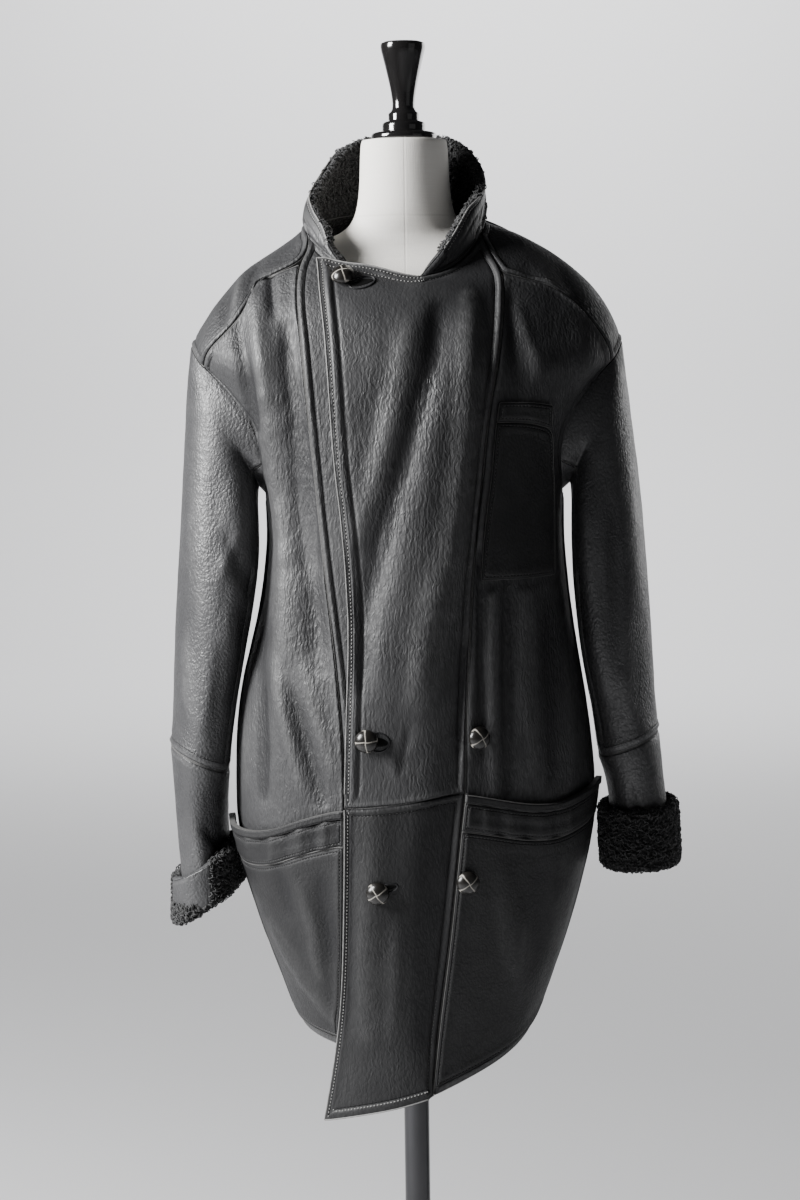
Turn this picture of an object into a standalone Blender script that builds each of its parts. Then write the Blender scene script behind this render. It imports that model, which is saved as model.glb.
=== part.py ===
"""A long shearling coat worn by a limbless dress form on its pole stand.

Metres, +Z up. The front faces -Y and +X is the wearer's left. The origin is
the middle of the base's underside, on the axis of the pole.

The coat's outside is one smooth skin, read from squared ovals. A place on it
is an angle about the body (0 the middle of the front, 90 the wearer's left
side, 180 the back, 270 or -90 the right side) and a height h, which climbs
over the shoulders to the neck. Every panel is a lattice of such places
between two seams, and neighbours share the places on the seam between them.
"""

from collections import namedtuple
from math import asin, atan2, cos, degrees, exp, pi, radians, sin

import bmesh
import bpy
from mathutils import Vector
from mathutils.bvhtree import BVHTree

# ---------------------------------------------------------------- dimensions

BODY_WALL = 0.007       # skin and clipped wool together
COLLAR_WALL = 0.009
CUFF_WALL = 0.012       # the sleeve's end turned back, wool outwards
POCKET_WALL = 0.005
SEAM_GAP = 0.0004       # between two pieces sewn edge to edge
LAYER_GAP = 0.0004      # under a piece that lies on a panel
OVERLAP_LIFT = 0.0110   # the lapping front above the front under it

ARMPIT = 1.18           # h of the armhole's foot, of its shoulder corner and of its crown
SHOULDER = 1.345
CROWN = 1.372
PRINCESS_TOP = 1.478
NECKLINE = 1.50
V_ANGLE = 9.0           # where the lapping front's top edge meets the collar
SIDE = 90.0             # the side seams
UNDERLAP_END = -0.002   # x of the hidden edge of the right front
WELT_FLAT = 0.95        # up to here the right princess seam lies under the lapping front
WELT_FULL = 1.10

BUTTON_RADIUS = 0.014
BUTTON_HEIGHT = 0.011
BUTTON_RIM = 0.003      # from its underside up to the foot of its dome
BUTTON_HOLLOW = 0.0005  # how far its underside slopes up from its shank
DOME_LEAN = 78          # how far the dome's side turns in, in degrees

POLE_RADIUS = 0.0155
BASE_RADIUS = 0.205
BASE_THICKNESS = 0.016
FORM_BOTTOM = 0.72
FORM_SIDES = 24


def records(names, rows):
    """A short table whose rows are read by column name."""
    row_type = namedtuple("Row", names)
    return [row_type(*row) for row in rows]


class Table:
    """A short table read between its rows along a smooth curve without overshoot."""

    def __init__(self, names, rows):
        self.rows = sorted(records(names, rows))
        self.places = [row[0] for row in self.rows]
        self.slopes = {name: self.slopes_of(name) for name in names.split()[1:]}

    def slopes_of(self, name):
        values = [getattr(row, name) for row in self.rows]
        steps = [(values[i + 1] - values[i]) / (self.places[i + 1] - self.places[i])
                 for i in range(len(values) - 1)]
        inner = [0.0 if before * after <= 0 else 2 * before * after / (before + after)
                 for before, after in zip(steps, steps[1:])]
        return [steps[0]] + inner + [steps[-1]]

    def read(self, name, place):
        place = min(max(place, self.places[0]), self.places[-1])
        i = max(k for k in range(len(self.places) - 1) if self.places[k] <= place)
        span = self.places[i + 1] - self.places[i]
        t = (place - self.places[i]) / span
        start, end = getattr(self.rows[i], name), getattr(self.rows[i + 1], name)
        slopes = self.slopes[name]
        return (start * (1 + 2 * t) * (1 - t) ** 2 + end * t * t * (3 - 2 * t)
                + slopes[i] * span * t * (1 - t) ** 2 - slopes[i + 1] * span * t * t * (1 - t))


# ------------------------------------------------- the skin of the whole coat

# Heights at the front, side and back of each section, half widths and depths,
# and how square the oval is (2 is an ellipse).
BODY = Table("h z_front z_side z_back right left front back square", [
    (0.430, 0.430, 0.430, 0.430, 0.1480, 0.1300, 0.129, 0.120, 2.30),
    (0.550, 0.550, 0.550, 0.550, 0.1390, 0.1450, 0.130, 0.130, 2.15),
    (0.600, 0.600, 0.600, 0.600, 0.1570, 0.1630, 0.136, 0.137, 2.20),
    (0.650, 0.650, 0.650, 0.650, 0.1730, 0.1790, 0.142, 0.145, 2.20),
    (0.700, 0.700, 0.700, 0.700, 0.1890, 0.1955, 0.148, 0.151, 2.20),
    (0.750, 0.750, 0.750, 0.750, 0.2030, 0.2065, 0.152, 0.155, 2.20),
    (0.800, 0.800, 0.800, 0.800, 0.2095, 0.2140, 0.156, 0.158, 2.20),
    (0.850, 0.850, 0.850, 0.850, 0.2120, 0.2180, 0.158, 0.160, 2.20),
    (0.930, 0.930, 0.930, 0.930, 0.2065, 0.2090, 0.158, 0.160, 2.20),
    (1.050, 1.050, 1.050, 1.050, 0.1780, 0.1900, 0.153, 0.152, 2.30),
    (1.150, 1.150, 1.150, 1.150, 0.1660, 0.1820, 0.150, 0.147, 2.40),
    (1.250, 1.250, 1.250, 1.250, 0.1880, 0.1930, 0.148, 0.145, 2.40),
    (1.310, 1.303, 1.310, 1.310, 0.2200, 0.2220, 0.144, 0.148, 2.30),
    (1.372, 1.345, 1.365, 1.375, 0.2555, 0.2553, 0.138, 0.146, 2.10),
    (1.395, 1.362, 1.392, 1.405, 0.2420, 0.2470, 0.132, 0.142, 2.00),
    (1.425, 1.383, 1.422, 1.435, 0.2210, 0.2300, 0.125, 0.136, 2.00),
    (1.450, 1.401, 1.452, 1.461, 0.1930, 0.2000, 0.117, 0.128, 2.00),
    (1.472, 1.416, 1.477, 1.487, 0.1570, 0.1680, 0.108, 0.118, 2.00),
    (1.488, 1.426, 1.494, 1.508, 0.1280, 0.1330, 0.098, 0.106, 2.00),
    (1.500, 1.433, 1.506, 1.525, 0.1190, 0.0920, 0.089, 0.092, 2.00),
    (1.515, 1.446, 1.521, 1.541, 0.1140, 0.0880, 0.084, 0.088, 2.00),
])

# Soft ridges (height over 0) and troughs of the worn leather, along a line on the skin.
FOLDS = records("low_angle low_h high_angle high_h height half_width", [
    (-43, 0.800, -62, 1.240, 0.0085, 13),
    (-81, 0.820, -79, 1.040, 0.0050, 8),
    (-27, 0.830, -43, 0.990, -0.0040, 4),
    (-30, 0.560, -66, 0.720, 0.0035, 8),
    (-47, 1.250, -50, 1.400, 0.0030, 4),
    (-8, 0.930, 15, 1.430, 0.0060, 9),
    (-23, 0.980, 0, 1.400, -0.0050, 6),
    (17, 0.960, 24, 1.340, -0.0040, 5),
    (20, 0.840, 23, 1.100, 0.0045, 4),
    (26, 0.840, 31, 1.060, -0.0045, 4),
    (35, 0.840, 41, 1.160, 0.0070, 7),
    (36, 1.270, 38, 1.400, 0.0050, 4),
    (30, 1.280, 31, 1.400, -0.0035, 4),
    (60, 1.310, 56, 1.430, 0.0060, 6),
    (112, 0.700, 128, 1.120, 0.0050, 8),
    (160, 0.650, 152, 1.150, -0.0050, 9),
    (205, 0.700, 214, 1.180, 0.0050, 8),
    (244, 0.720, 232, 1.100, 0.0050, 8),
])


def on_section(angle, h):
    """A point of the smooth skin, before its folds."""
    side, ahead = sin(radians(angle)), cos(radians(angle))
    power = 2 / BODY.read("square", h)
    half = BODY.read("left" if side > 0 else "right", h)
    depth = BODY.read("front" if ahead > 0 else "back", h)
    end = BODY.read("z_front" if ahead > 0 else "z_back", h)
    flank = BODY.read("z_side", h)
    x = half * abs(side) ** power * (1 if side > 0 else -1)
    y = depth * abs(ahead) ** power * (-1 if ahead > 0 else 1)
    return Vector((x, y, flank + (end - flank) * abs(ahead) ** 1.3))


# The least upward share of the way out, near the armholes: over them the skin
# flares to the shoulder's corner, and there the cloth turns up into the yoke.
SHOULDER_LEAN = Table("h least", [
    (1.200, -0.60), (1.260, -0.25), (1.300, 0.00), (1.345, 0.32), (1.372, 0.40), (1.395, 0.40),
    (1.430, 0.00)])


def skin_normal(angle, h):
    """The direction out of the smooth skin."""
    turn, climb = 0.6, 0.002
    around = on_section(angle + turn, h) - on_section(angle - turn, h)
    upward = on_section(angle, h + climb) - on_section(angle, h - climb)
    normal = around.cross(upward).normalized()
    least = SHOULDER_LEAN.read("least", h) * sin(radians(angle)) ** 2
    if 1.20 < h < 1.43 and normal.z < least:
        normal.z = least
        normal.normalize()
    return normal


def angle_at(x, h):
    """The front angle of the skin at a distance x from the middle."""
    half = BODY.read("left" if x > 0 else "right", h)
    share = min(abs(x) / half, 1.0) ** (BODY.read("square", h) / 2)
    return degrees(asin(share)) * (1 if x > 0 else -1)


def fold_height(angle, h):
    """How far the folds move the skin out (over 0) or in."""
    total = 0.0
    for fold in FOLDS:
        share = (h - fold.low_h) / (fold.high_h - fold.low_h)
        if 0 < share < 1:
            middle = fold.low_angle + (fold.high_angle - fold.low_angle) * share
            off = ((angle - middle + 180) % 360 - 180) / fold.half_width
            total += fold.height * exp(-2 * off * off) * min(1.0, 5 * share * (1 - share))
    return total


# ------------------------------------------------------------ seams and edges

# The armholes' front edge; the back edge mirrors it about the side.
ARMHOLE = Table("h angle", [
    (1.180, 90), (1.200, 76), (1.240, 66), (1.280, 65), (1.320, 69), (1.345, 76)])

# The shoulder yokes' front and back seams.
YOKE = Table("h front_right front_left back", [
    (1.345, 76.0, 76.0, 104.0),
    (1.370, 66.0, 67.0, 112.0),
    (1.395, 59.5, 62.0, 116.0),
    (1.420, 57.8, 60.0, 119.0),
    (1.436, 60.5, 59.0, 121.0),
    (1.452, 66.0, 56.0, 122.0),
    (1.478, 59.0, 46.0, 120.5),
    (1.490, 64.0, 53.0, 119.0),
    (1.500, 71.0, 71.0, 118.0),
])

# x of the long seams that part each front into a side and a middle panel.
PRINCESS_RIGHT = Table("h x", [
    (0.447, -0.1050), (0.470, -0.1005), (0.533, -0.0885), (0.604, -0.0840), (0.723, -0.0810),
    (0.840, -0.0790), (0.888, -0.0790), (0.968, -0.0835), (1.072, -0.0945), (1.187, -0.1055),
    (1.300, -0.1150), (1.395, -0.1210), (1.452, -0.1270), (1.478, -0.1310)])
PRINCESS_LEFT = Table("h x", [
    (0.500, 0.0200), (0.564, 0.0268), (0.653, 0.0393), (0.712, 0.0457), (0.771, 0.0510),
    (0.854, 0.0600), (0.956, 0.0636), (1.018, 0.0678), (1.093, 0.0720), (1.160, 0.0785),
    (1.210, 0.0855), (1.258, 0.0898), (1.320, 0.0978), (1.405, 0.1080), (1.478, 0.1130)])
OVERLAP_EDGE = Table("h x", [
    (0.447, -0.1030), (0.470, -0.0985), (0.533, -0.0865), (0.604, -0.0820), (0.723, -0.0790),
    (0.840, -0.0765), (0.934, -0.0730), (1.026, -0.0690), (1.072, -0.0700), (1.148, -0.0730),
    (1.223, -0.0810), (1.285, -0.0855), (1.370, -0.0900), (1.420, -0.0930), (1.4445, -0.0955),
    (1.487, -0.1010)])

# The hems by x.
HEM_RIGHT = Table("x h", [
    (-0.150, 0.5560), (-0.127, 0.5460), (-0.108, 0.5415), (-0.090, 0.5390), (0.050, 0.5370)])
HEM_LEFT = Table("x h", [
    (-0.105, 0.4470), (-0.067, 0.4590), (-0.020, 0.4715), (0.027, 0.4860), (0.063, 0.5010),
    (0.100, 0.5165), (0.122, 0.5275), (0.138, 0.5390), (0.1455, 0.5560)])
HEM_BACK = 0.556

# The hip line by x: the pocket mouths, and the seam across the lapping front.
HIP = Table("x right left", [
    (-0.215, 0.8090, 0.8330), (-0.205, 0.7960, 0.8330), (-0.190, 0.7930, 0.8330),
    (-0.165, 0.7985, 0.8330), (-0.131, 0.8155, 0.8330), (-0.108, 0.8268, 0.8330),
    (-0.078, 0.8295, 0.8335), (-0.015, 0.8300, 0.8384), (0.054, 0.8300, 0.8480),
    (0.068, 0.8300, 0.8460), (0.088, 0.8300, 0.8423), (0.112, 0.8300, 0.8352),
    (0.141, 0.8300, 0.8296), (0.165, 0.8300, 0.8276), (0.197, 0.8300, 0.8337),
    (0.220, 0.8300, 0.8413)])
HIP_HEIGHT = 0.83
BAND_DEPTH = 0.043      # from a pocket's mouth to the seam under its band
WELT_DEPTH = 0.009      # the bound edge of the mouth

# Doubled leather beside a seam, along the free edges and along the hem.
SEAM_WELT = records("inward height", [(0, 0.0016), (0.0035, 0.0022), (0.008, 0)])
EDGE_WELT = records("inward height", [(0, 0.0010), (0.0090, 0.0016), (0.012, 0)])
HEM_WELT = records("inward height", [(0, 0.0010), (0.0100, 0.0016), (0.0135, 0)])
HEM_TURN = HEM_WELT[-1].inward
PLAIN = records("inward height", [(0, 0)])

# Heights of the rows over the hips that every panel shares on its seams.
CHEST_LEVELS = (0.90, 0.97, 1.035, 1.092, 1.14, ARMPIT)
ARMHOLE_LEVELS = (1.20, 1.225, 1.25, 1.275, 1.30, 1.325, SHOULDER)
YOKE_LEVELS = (1.37, 1.395, 1.42, 1.436, 1.452, PRINCESS_TOP, 1.49, NECKLINE)

# The lapping front's top rows start lower at its edge, and are level again at a
# share of its width. At another share stands the column that meets the collar.
LAPEL_LEVELS = (1.4445, 1.465, 1.478, 1.487)
LAPEL_SHARE = 0.26
V_SHARE = 0.497
LAPEL_RISE = 0.0150     # how far the top edge arches up between its corner and that column


def princess_right(h):
    return angle_at(PRINCESS_RIGHT.read("x", h), h)


def princess_left(h):
    return angle_at(PRINCESS_LEFT.read("x", h), h)


def overlap_edge(h):
    return angle_at(OVERLAP_EDGE.read("x", h), h)


def underlap_edge(h):
    return angle_at(UNDERLAP_END, h)


def outer_seam(h, yoke_column):
    """The side seam, then the armhole, then the yoke seam, going up a front panel."""
    if h <= ARMPIT:
        return SIDE
    if h <= SHOULDER:
        return ARMHOLE.read("angle", h)
    return YOKE.read(yoke_column, h)


def yoke_corner(h):
    """Whether h is at or over the corner where a princess seam meets the yoke."""
    return h > PRINCESS_TOP - 1e-6


def right_side_seam(h):
    return -outer_seam(h, "front_right")


def left_side_seam(h):
    return outer_seam(h, "front_left")


def back_left_seam(h):
    return YOKE.read("back", h) if h > SHOULDER else 180 - outer_seam(h, "back")


def back_right_seam(h):
    return 360 - back_left_seam(h)


def back_centre_seam(h):
    return 180.0


def yoke_front_left(h):
    return YOKE.read("front_left", h)


def yoke_front_right(h):
    return 360 - YOKE.read("front_right", h)


def middle_right_seam(h):
    """The right princess seam, then the yoke's edge up to the neck."""
    return -YOKE.read("front_right", h) if yoke_corner(h) else princess_right(h)


def middle_left_seam(h):
    """The left princess seam, then the yoke's edge up to the neck."""
    return YOKE.read("front_left", h) if yoke_corner(h) else princess_left(h)


# -------------------------------------------------------------------- lattices

# A row of a lattice: its height by the share of the way across and by x, and
# how far its outside is raised.
Row = namedtuple("Row", "height raised")


def level_row(h, raised=0.0):
    return Row(lambda share, x: h, raised)


def slanted_row(start, end):
    """A row that climbs from its start to its end."""
    return Row(lambda share, x: start + (end - start) * share, 0.0)


def arched_row(start, level, rise):
    """A row of the lapping front that slants up from its edge, then arches down to the collar."""
    return Row(lambda share, x: start + (level - start) * min(1.0, share / LAPEL_SHARE)
               + rise * sin(pi * min(1.0, share / V_SHARE)), 0.0)


def skirt_rows(hem, hip):
    """Rows from the hem up to the hip line, with the pocket's seams between."""
    rows = [Row(lambda share, x, up=step.inward: hem(x) + up, step.height) for step in HEM_WELT]
    for part in (0.25, 0.5, 0.75):
        rows.append(Row(lambda share, x, part=part:
                        hem(x) + HEM_TURN + (hip(x) - BAND_DEPTH - hem(x) - HEM_TURN) * part, 0.0))
    rows.append(Row(lambda share, x: hip(x) - BAND_DEPTH, 0.0))
    rows.append(Row(lambda share, x: hip(x) - WELT_DEPTH, 0.0))
    return rows


def chest_rows(hip):
    """Rows from just over the hip line to the armpit."""
    return [Row(lambda share, x: hip(x) + WELT_DEPTH, 0.0)] + [level_row(h) for h in CHEST_LEVELS]


def columns_across(width, cells, stops, start_welt, end_welt):
    """Shares of a row's width for its columns, and how far each is raised.

    The stops divide the row, with a count of cells between each two of them.
    """
    columns = [(step.inward / width, step.height) for step in start_welt]
    first, last = start_welt[-1].inward / width, 1 - end_welt[-1].inward / width
    ends = [first, *stops, last]
    for (begin, end), count in zip(zip(ends, ends[1:]), cells):
        columns += [(begin + (end - begin) * k / count, 0.0) for k in range(1, count + 1)]
    columns.pop()
    return columns + [(1 - step.inward / width, step.height) for step in reversed(end_welt)]


Place = namedtuple("Place", "angle h raised")


def lay_lattice(start, end, rows, cells, stops=(), start_welt=SEAM_WELT, end_welt=SEAM_WELT):
    """Places between two seams, each seam an angle by h, on every row."""
    lattice = []
    for row in rows:
        ends = []
        for seam, share in ((start, 0), (end, 1)):
            h = HIP_HEIGHT
            for _ in range(12):
                h = row.height(share, on_section(seam(h), h).x)
            ends.append((seam(h), h))
        (first, first_h), (last, last_h) = ends
        spots = [on_section(first + (last - first) * k / 8, first_h + (last_h - first_h) * k / 8)
                 for k in range(9)]
        width = sum((b - a).length for a, b in zip(spots, spots[1:]))
        places = []
        marks = [stop(first, last, first_h) if callable(stop) else stop for stop in stops]
        for share, raised in columns_across(width, cells, marks, start_welt, end_welt):
            angle = first + (last - first) * share
            h = first_h + (last_h - first_h) * share
            for _ in range(6):
                h = row.height(share, on_section(angle, h).x)
            places.append(Place(angle, h, max(raised, row.raised)))
        lattice.append(places)
    return lattice


class Skin:
    """A lattice with its outside points, its inside points and the way out at each."""

    def __init__(self, lattice, wall=BODY_WALL, lift=None):
        self.lattice = lattice
        self.outside, self.inside, self.normals = [], [], []
        for places in lattice:
            outer, inner, normals = [], [], []
            for place in places:
                normal = skin_normal(place.angle, place.h)
                out = fold_height(place.angle, place.h)
                out += lift(place.angle, place.h) if lift else 0.0
                foot = on_section(place.angle, place.h) + normal * out
                outer.append(foot + normal * place.raised)
                inner.append(foot - normal * wall)
                normals.append(normal)
            self.outside.append(outer)
            self.inside.append(inner)
            self.normals.append(normals)


def straighten_top(skin):
    """The slanted top of a side front is one straight seam against the yoke."""
    for grid in (skin.outside, skin.inside):
        top = grid[-1]
        whole = (top[-1] - top[0]).length
        grid[-1] = [top[0].lerp(top[-1], min(1.0, (point - top[0]).length / whole))
                    for point in top]


# -------------------------------------------------------- Blender's own objects

def clear_scene():
    for thing in list(bpy.data.objects):
        bpy.data.objects.remove(thing, do_unlink=True)


def finish_material(name, colour, roughness, metallic=0.0):
    material = bpy.data.materials.new(name)
    material.use_nodes = True
    shader = material.node_tree.nodes["Principled BSDF"]
    shader.inputs["Base Color"].default_value = (*colour, 1.0)
    shader.inputs["Roughness"].default_value = roughness
    shader.inputs["Metallic"].default_value = metallic
    return material


def mesh_object(name, material, points, faces, sharp=40.0):
    mesh = bpy.data.meshes.new(name)
    mesh.from_pydata([tuple(point) for point in points], [], faces)
    solid = bmesh.new()
    solid.from_mesh(mesh)
    bmesh.ops.recalc_face_normals(solid, faces=solid.faces)
    solid.to_mesh(mesh)
    solid.free()
    mesh.shade_smooth()
    mesh.set_sharp_from_angle(angle=radians(sharp))
    own_material = material.copy()
    own_material.name = name
    mesh.materials.append(own_material)
    made = bpy.data.objects.new(name, mesh)
    bpy.context.scene.collection.objects.link(made)
    return made


def drawn_in(grid, closed):
    """A grid of points with its rim drawn in by half the seam gap."""
    def step(point, neighbour):
        return (neighbour - point).normalized() * SEAM_GAP / 2

    result = [[point.copy() for point in row] for row in grid]
    for c in range(len(grid[0])):
        result[0][c] += step(grid[0][c], grid[1][c])
        result[-1][c] += step(grid[-1][c], grid[-2][c])
    if not closed:
        for r in range(len(grid)):
            result[r][0] += step(grid[r][0], grid[r][1])
            result[r][-1] += step(grid[r][-1], grid[r][-2])
    return result


def wall_object(name, material, outside, inside, closed=False):
    """A solid between two grids of points; a closed one joins its last column to its first."""
    outside, inside = drawn_in(outside, closed), drawn_in(inside, closed)
    rows, columns = len(outside), len(outside[0])
    cells = columns if closed else columns - 1
    points = [point for grid in (outside, inside) for row in grid for point in row]

    def at(layer, row, column):
        return (layer * rows + row) * columns + column % columns

    def split(a, b, c, d):
        return [(a, b, c), (a, c, d)]

    def split_rim(a, b, c, d):
        """Two sewn rims are cut along the same diagonal, from the higher outside point."""
        return split(a, b, c, d) if points[a].z > points[b].z else split(b, c, d, a)

    faces = []
    for column in range(cells):
        for row in range(rows - 1):
            for layer in (0, 1):
                faces += split(at(layer, row, column), at(layer, row, column + 1),
                               at(layer, row + 1, column + 1), at(layer, row + 1, column))
        for row in (0, rows - 1):
            faces += split_rim(at(0, row, column), at(0, row, column + 1),
                               at(1, row, column + 1), at(1, row, column))
    if not closed:
        for row in range(rows - 1):
            for column in (0, columns - 1):
                faces += split_rim(at(0, row, column), at(0, row + 1, column),
                                   at(1, row + 1, column), at(1, row, column))
    return mesh_object(name, material, points, faces)


def lofted_object(name, material, rings, sharp=40.0):
    """A closed solid through rings of equal counts, capped at both ends."""
    sides = len(rings[0])
    points = [point for ring in rings for point in ring]
    faces = [tuple(range(sides)), tuple(range((len(rings) - 1) * sides, len(rings) * sides))]
    for r in range(len(rings) - 1):
        for k in range(sides):
            after = (k + 1) % sides
            faces.append((r * sides + k, r * sides + after,
                          (r + 1) * sides + after, (r + 1) * sides + k))
    return mesh_object(name, material, points, faces, sharp)


def turned_rings(profile, sides, centre=Vector((0, 0, 0)), axis=Vector((0, 0, 1))):
    """Rings of a turned solid: a profile of distances along the axis and radii."""
    across = axis.orthogonal().normalized()
    other = axis.cross(across)
    return [[centre + axis * along + (across * cos(2 * pi * k / sides)
                                      + other * sin(2 * pi * k / sides)) * radius
             for k in range(sides)] for along, radius in profile]


# ------------------------------------------------------------------ the panels

def hem_right(x):
    return HEM_RIGHT.read("h", x)


def hem_left(x):
    return HEM_LEFT.read("h", x)


def hip_right(x):
    return HIP.read("right", x)


def hip_left(x):
    return HIP.read("left", x)


def back_hip(x):
    """Behind the side seams the hip line runs straight from one side to the other."""
    right, left = hip_right(-1.0), hip_left(1.0)
    return right + (left - right) * min(1.0, max(0.0, (x + 0.21) / 0.43))


def slanted_top(rows, outer_first):
    """The two top rows of a side front, one level higher at the princess seam."""
    for low, high in ((YOKE_LEVELS[3], YOKE_LEVELS[4]), (YOKE_LEVELS[4], YOKE_LEVELS[5])):
        rows.append(slanted_row(low, high) if outer_first else slanted_row(high, low))
    return rows


def body_rows(hem, hip):
    """Every row of a front panel from its hem to the yoke's third level."""
    rows = skirt_rows(hem, hip) + [Row(lambda share, x: hip(x), 0.0)] + chest_rows(hip)
    return rows + [level_row(h) for h in ARMHOLE_LEVELS + YOKE_LEVELS[:3]]


def overlap_lift(angle, h):
    """The lapping front rises from its princess seam to lie over the right front."""
    full = angle_at(UNDERLAP_END + 0.012, h)
    none = princess_left(min(h, YOKE_LEVELS[5])) - 1.0
    share = min(1.0, max(0.0, (none - angle) / (none - full)))
    return OVERLAP_LIFT * share * share * (3 - 2 * share)


def right_side_lattice():
    rows = slanted_top(body_rows(hem_right, hip_right), outer_first=True)
    return lay_lattice(right_side_seam, middle_right_seam, rows, cells=(5,))


def breast_pocket_edge(first, last, h):
    """The share of the left side front's width where the breast pocket ends."""
    share = (angle_at(BREAST_EDGE, min(h, BREAST_TOP)) - first) / (last - first)
    return min(max(share, 0.5), 0.80)


def left_side_lattice():
    rows = body_rows(hem_left, hip_left)
    for k, row in enumerate(rows):
        if any(abs(row.height(0, 0) - level) < 1e-6 for level in BREAST_BAND):
            rows[k] = Row(lambda share, x, level=row.height(0, 0):
                          level - BREAST_SLANT * sin(pi * share ** 3), 0.0)
    rows = slanted_top(rows, outer_first=False)
    return lay_lattice(middle_left_seam, left_side_seam, rows, cells=(4, 2),
                       stops=(breast_pocket_edge,))


def underlap_welt(h):
    """The share of its seam's welt, which is pressed flat where the other front covers it."""
    return min(1.0, max(0.0, (h - WELT_FLAT) / (WELT_FULL - WELT_FLAT)))


def underlap_lattice():
    """The right front's middle panel, most of it hidden under the lapping front."""
    rows = body_rows(hem_right, hip_right) + [level_row(h) for h in YOKE_LEVELS[4:]]
    lattice = lay_lattice(middle_right_seam, underlap_edge, rows, cells=(4,), end_welt=PLAIN)
    return [[place._replace(raised=place.raised * underlap_welt(place.h)) for place in places]
            for places in lattice]


def overlap_lattice():
    """The lapping front over the hip, up to its top edge and the neckline."""
    rows = [Row(lambda share, x: hip_left(x), SEAM_WELT[0].height)]
    rows += [Row(lambda share, x: hip_left(x) + WELT_DEPTH, 0.0)]
    rows += [level_row(h) for h in CHEST_LEVELS + ARMHOLE_LEVELS + YOKE_LEVELS[:3]]
    for step, (low, high) in enumerate(zip(LAPEL_LEVELS, YOKE_LEVELS[4:]), 1):
        rows.append(arched_row(low, high, LAPEL_RISE * step / len(LAPEL_LEVELS)))
    return lay_lattice(overlap_edge, middle_left_seam, rows, cells=(5, 4), stops=(V_SHARE,),
                       start_welt=EDGE_WELT)


def overlap_skirt_lattice():
    rows = skirt_rows(hem_left, hip_left)
    rows += [Row(lambda share, x: hip_left(x), SEAM_WELT[0].height)]
    return lay_lattice(overlap_edge, princess_left, rows, cells=(6,), start_welt=EDGE_WELT)


def back_lattice(start, end):
    """Half of the back, from the hem to the neck."""
    rows = skirt_rows(lambda x: HEM_BACK, back_hip)
    rows += [Row(lambda share, x: back_hip(x), 0.0)] + chest_rows(back_hip)
    rows += [level_row(h) for h in ARMHOLE_LEVELS + YOKE_LEVELS]
    return lay_lattice(start, end, rows, cells=(4,))


def yoke_lattice(start, end):
    """A shoulder yoke from the armhole's crown to the neckline."""
    rows = []
    for level in (SHOULDER,) + YOKE_LEVELS:
        climb = (level - SHOULDER) / (NECKLINE - SHOULDER)
        raised = SEAM_WELT[0].height if level == SHOULDER else 0.0
        rows.append(Row(lambda share, x, climb=climb: crown_h(share)
                        + (NECKLINE - crown_h(share)) * climb, raised))
    return lay_lattice(start, end, rows, cells=(4,))


def crown_h(share):
    """The armhole's top edge, arched over the shoulder."""
    return SHOULDER + (CROWN - SHOULDER) * sin(pi * share)


# -------------------------------------------------------------------- pockets

def pocket_gape(angle, side_angle, most, near_side):
    """How far a pocket's mouth stands open, most of all a little before the side seam."""
    off = abs(angle) - side_angle
    spread = GAPE_BEFORE if off < 0 else GAPE_BEHIND
    return near_side + (most - near_side) * exp(-(off / spread) ** 2)


POCKETS = records("side gape_angle gape near_side", [
    ("right", 78, 0.012, 0.0010),
    ("left", 80, 0.004, 0.0010),
])
GAPE_BEFORE, GAPE_BEHIND = 14.0, 10.0    # how fast the mouth closes, in degrees


def pocket_patch(skin, rows, columns, gapes):
    """Two grids for a piece on a panel: the panel's own points moved out."""
    under, over = [], []
    for row, openness in zip(rows, gapes):
        lower, upper = [], []
        for column in columns:
            normal = skin.normals[row][column]
            foot = skin.outside[row][column] + normal * (LAYER_GAP + openness(column))
            lower.append(foot)
            upper.append(foot + normal * POCKET_WALL)
        under.append(lower)
        over.append(upper)
    return over, under


def make_hip_pocket(side, skin, columns, material):
    """A patch pocket in three pieces: the bag, the band over it and the bound mouth."""
    pocket = next(row for row in POCKETS if row.side == side)

    def openness(row, share):
        return lambda column: share * pocket_gape(
            skin.lattice[row][column].angle, pocket.gape_angle, pocket.gape, pocket.near_side)

    bottom, band, welt, mouth = 1, 6, 7, 8
    shares = {band: 0.35, welt: 0.9, mouth: 1.0}
    pieces = (("pocket_" + side, range(bottom, band + 1), 0.0),
              ("pocket_band_" + side, range(band, welt + 1), 0.0008),
              ("pocket_welt_" + side, range(welt, mouth + 1), 0.0022))
    for name, rows, extra in pieces:
        gapes = [openness(row, shares.get(row, 0.0)) for row in rows]
        over, under = pocket_patch(skin, rows, columns, gapes)
        for row_points, row in zip(over, rows):
            for k, column in enumerate(columns):
                row_points[k] += skin.normals[row][column] * extra
        wall_object(name, material, over, under)


BREAST_BOTTOM, BREAST_TOP = 1.092, 1.30
BREAST_BAND = (1.275, BREAST_TOP)
BREAST_EDGE = 0.168     # x of the pocket's outer edge
BREAST_THINNER = 0.002  # its leather is thinner than a hip pocket's
BREAST_SLANT = 0.012    # its top runs down towards that edge
BREAST_COLUMNS = range(2, 7)


# -------------------------------------------------------------------- sleeves

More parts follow.
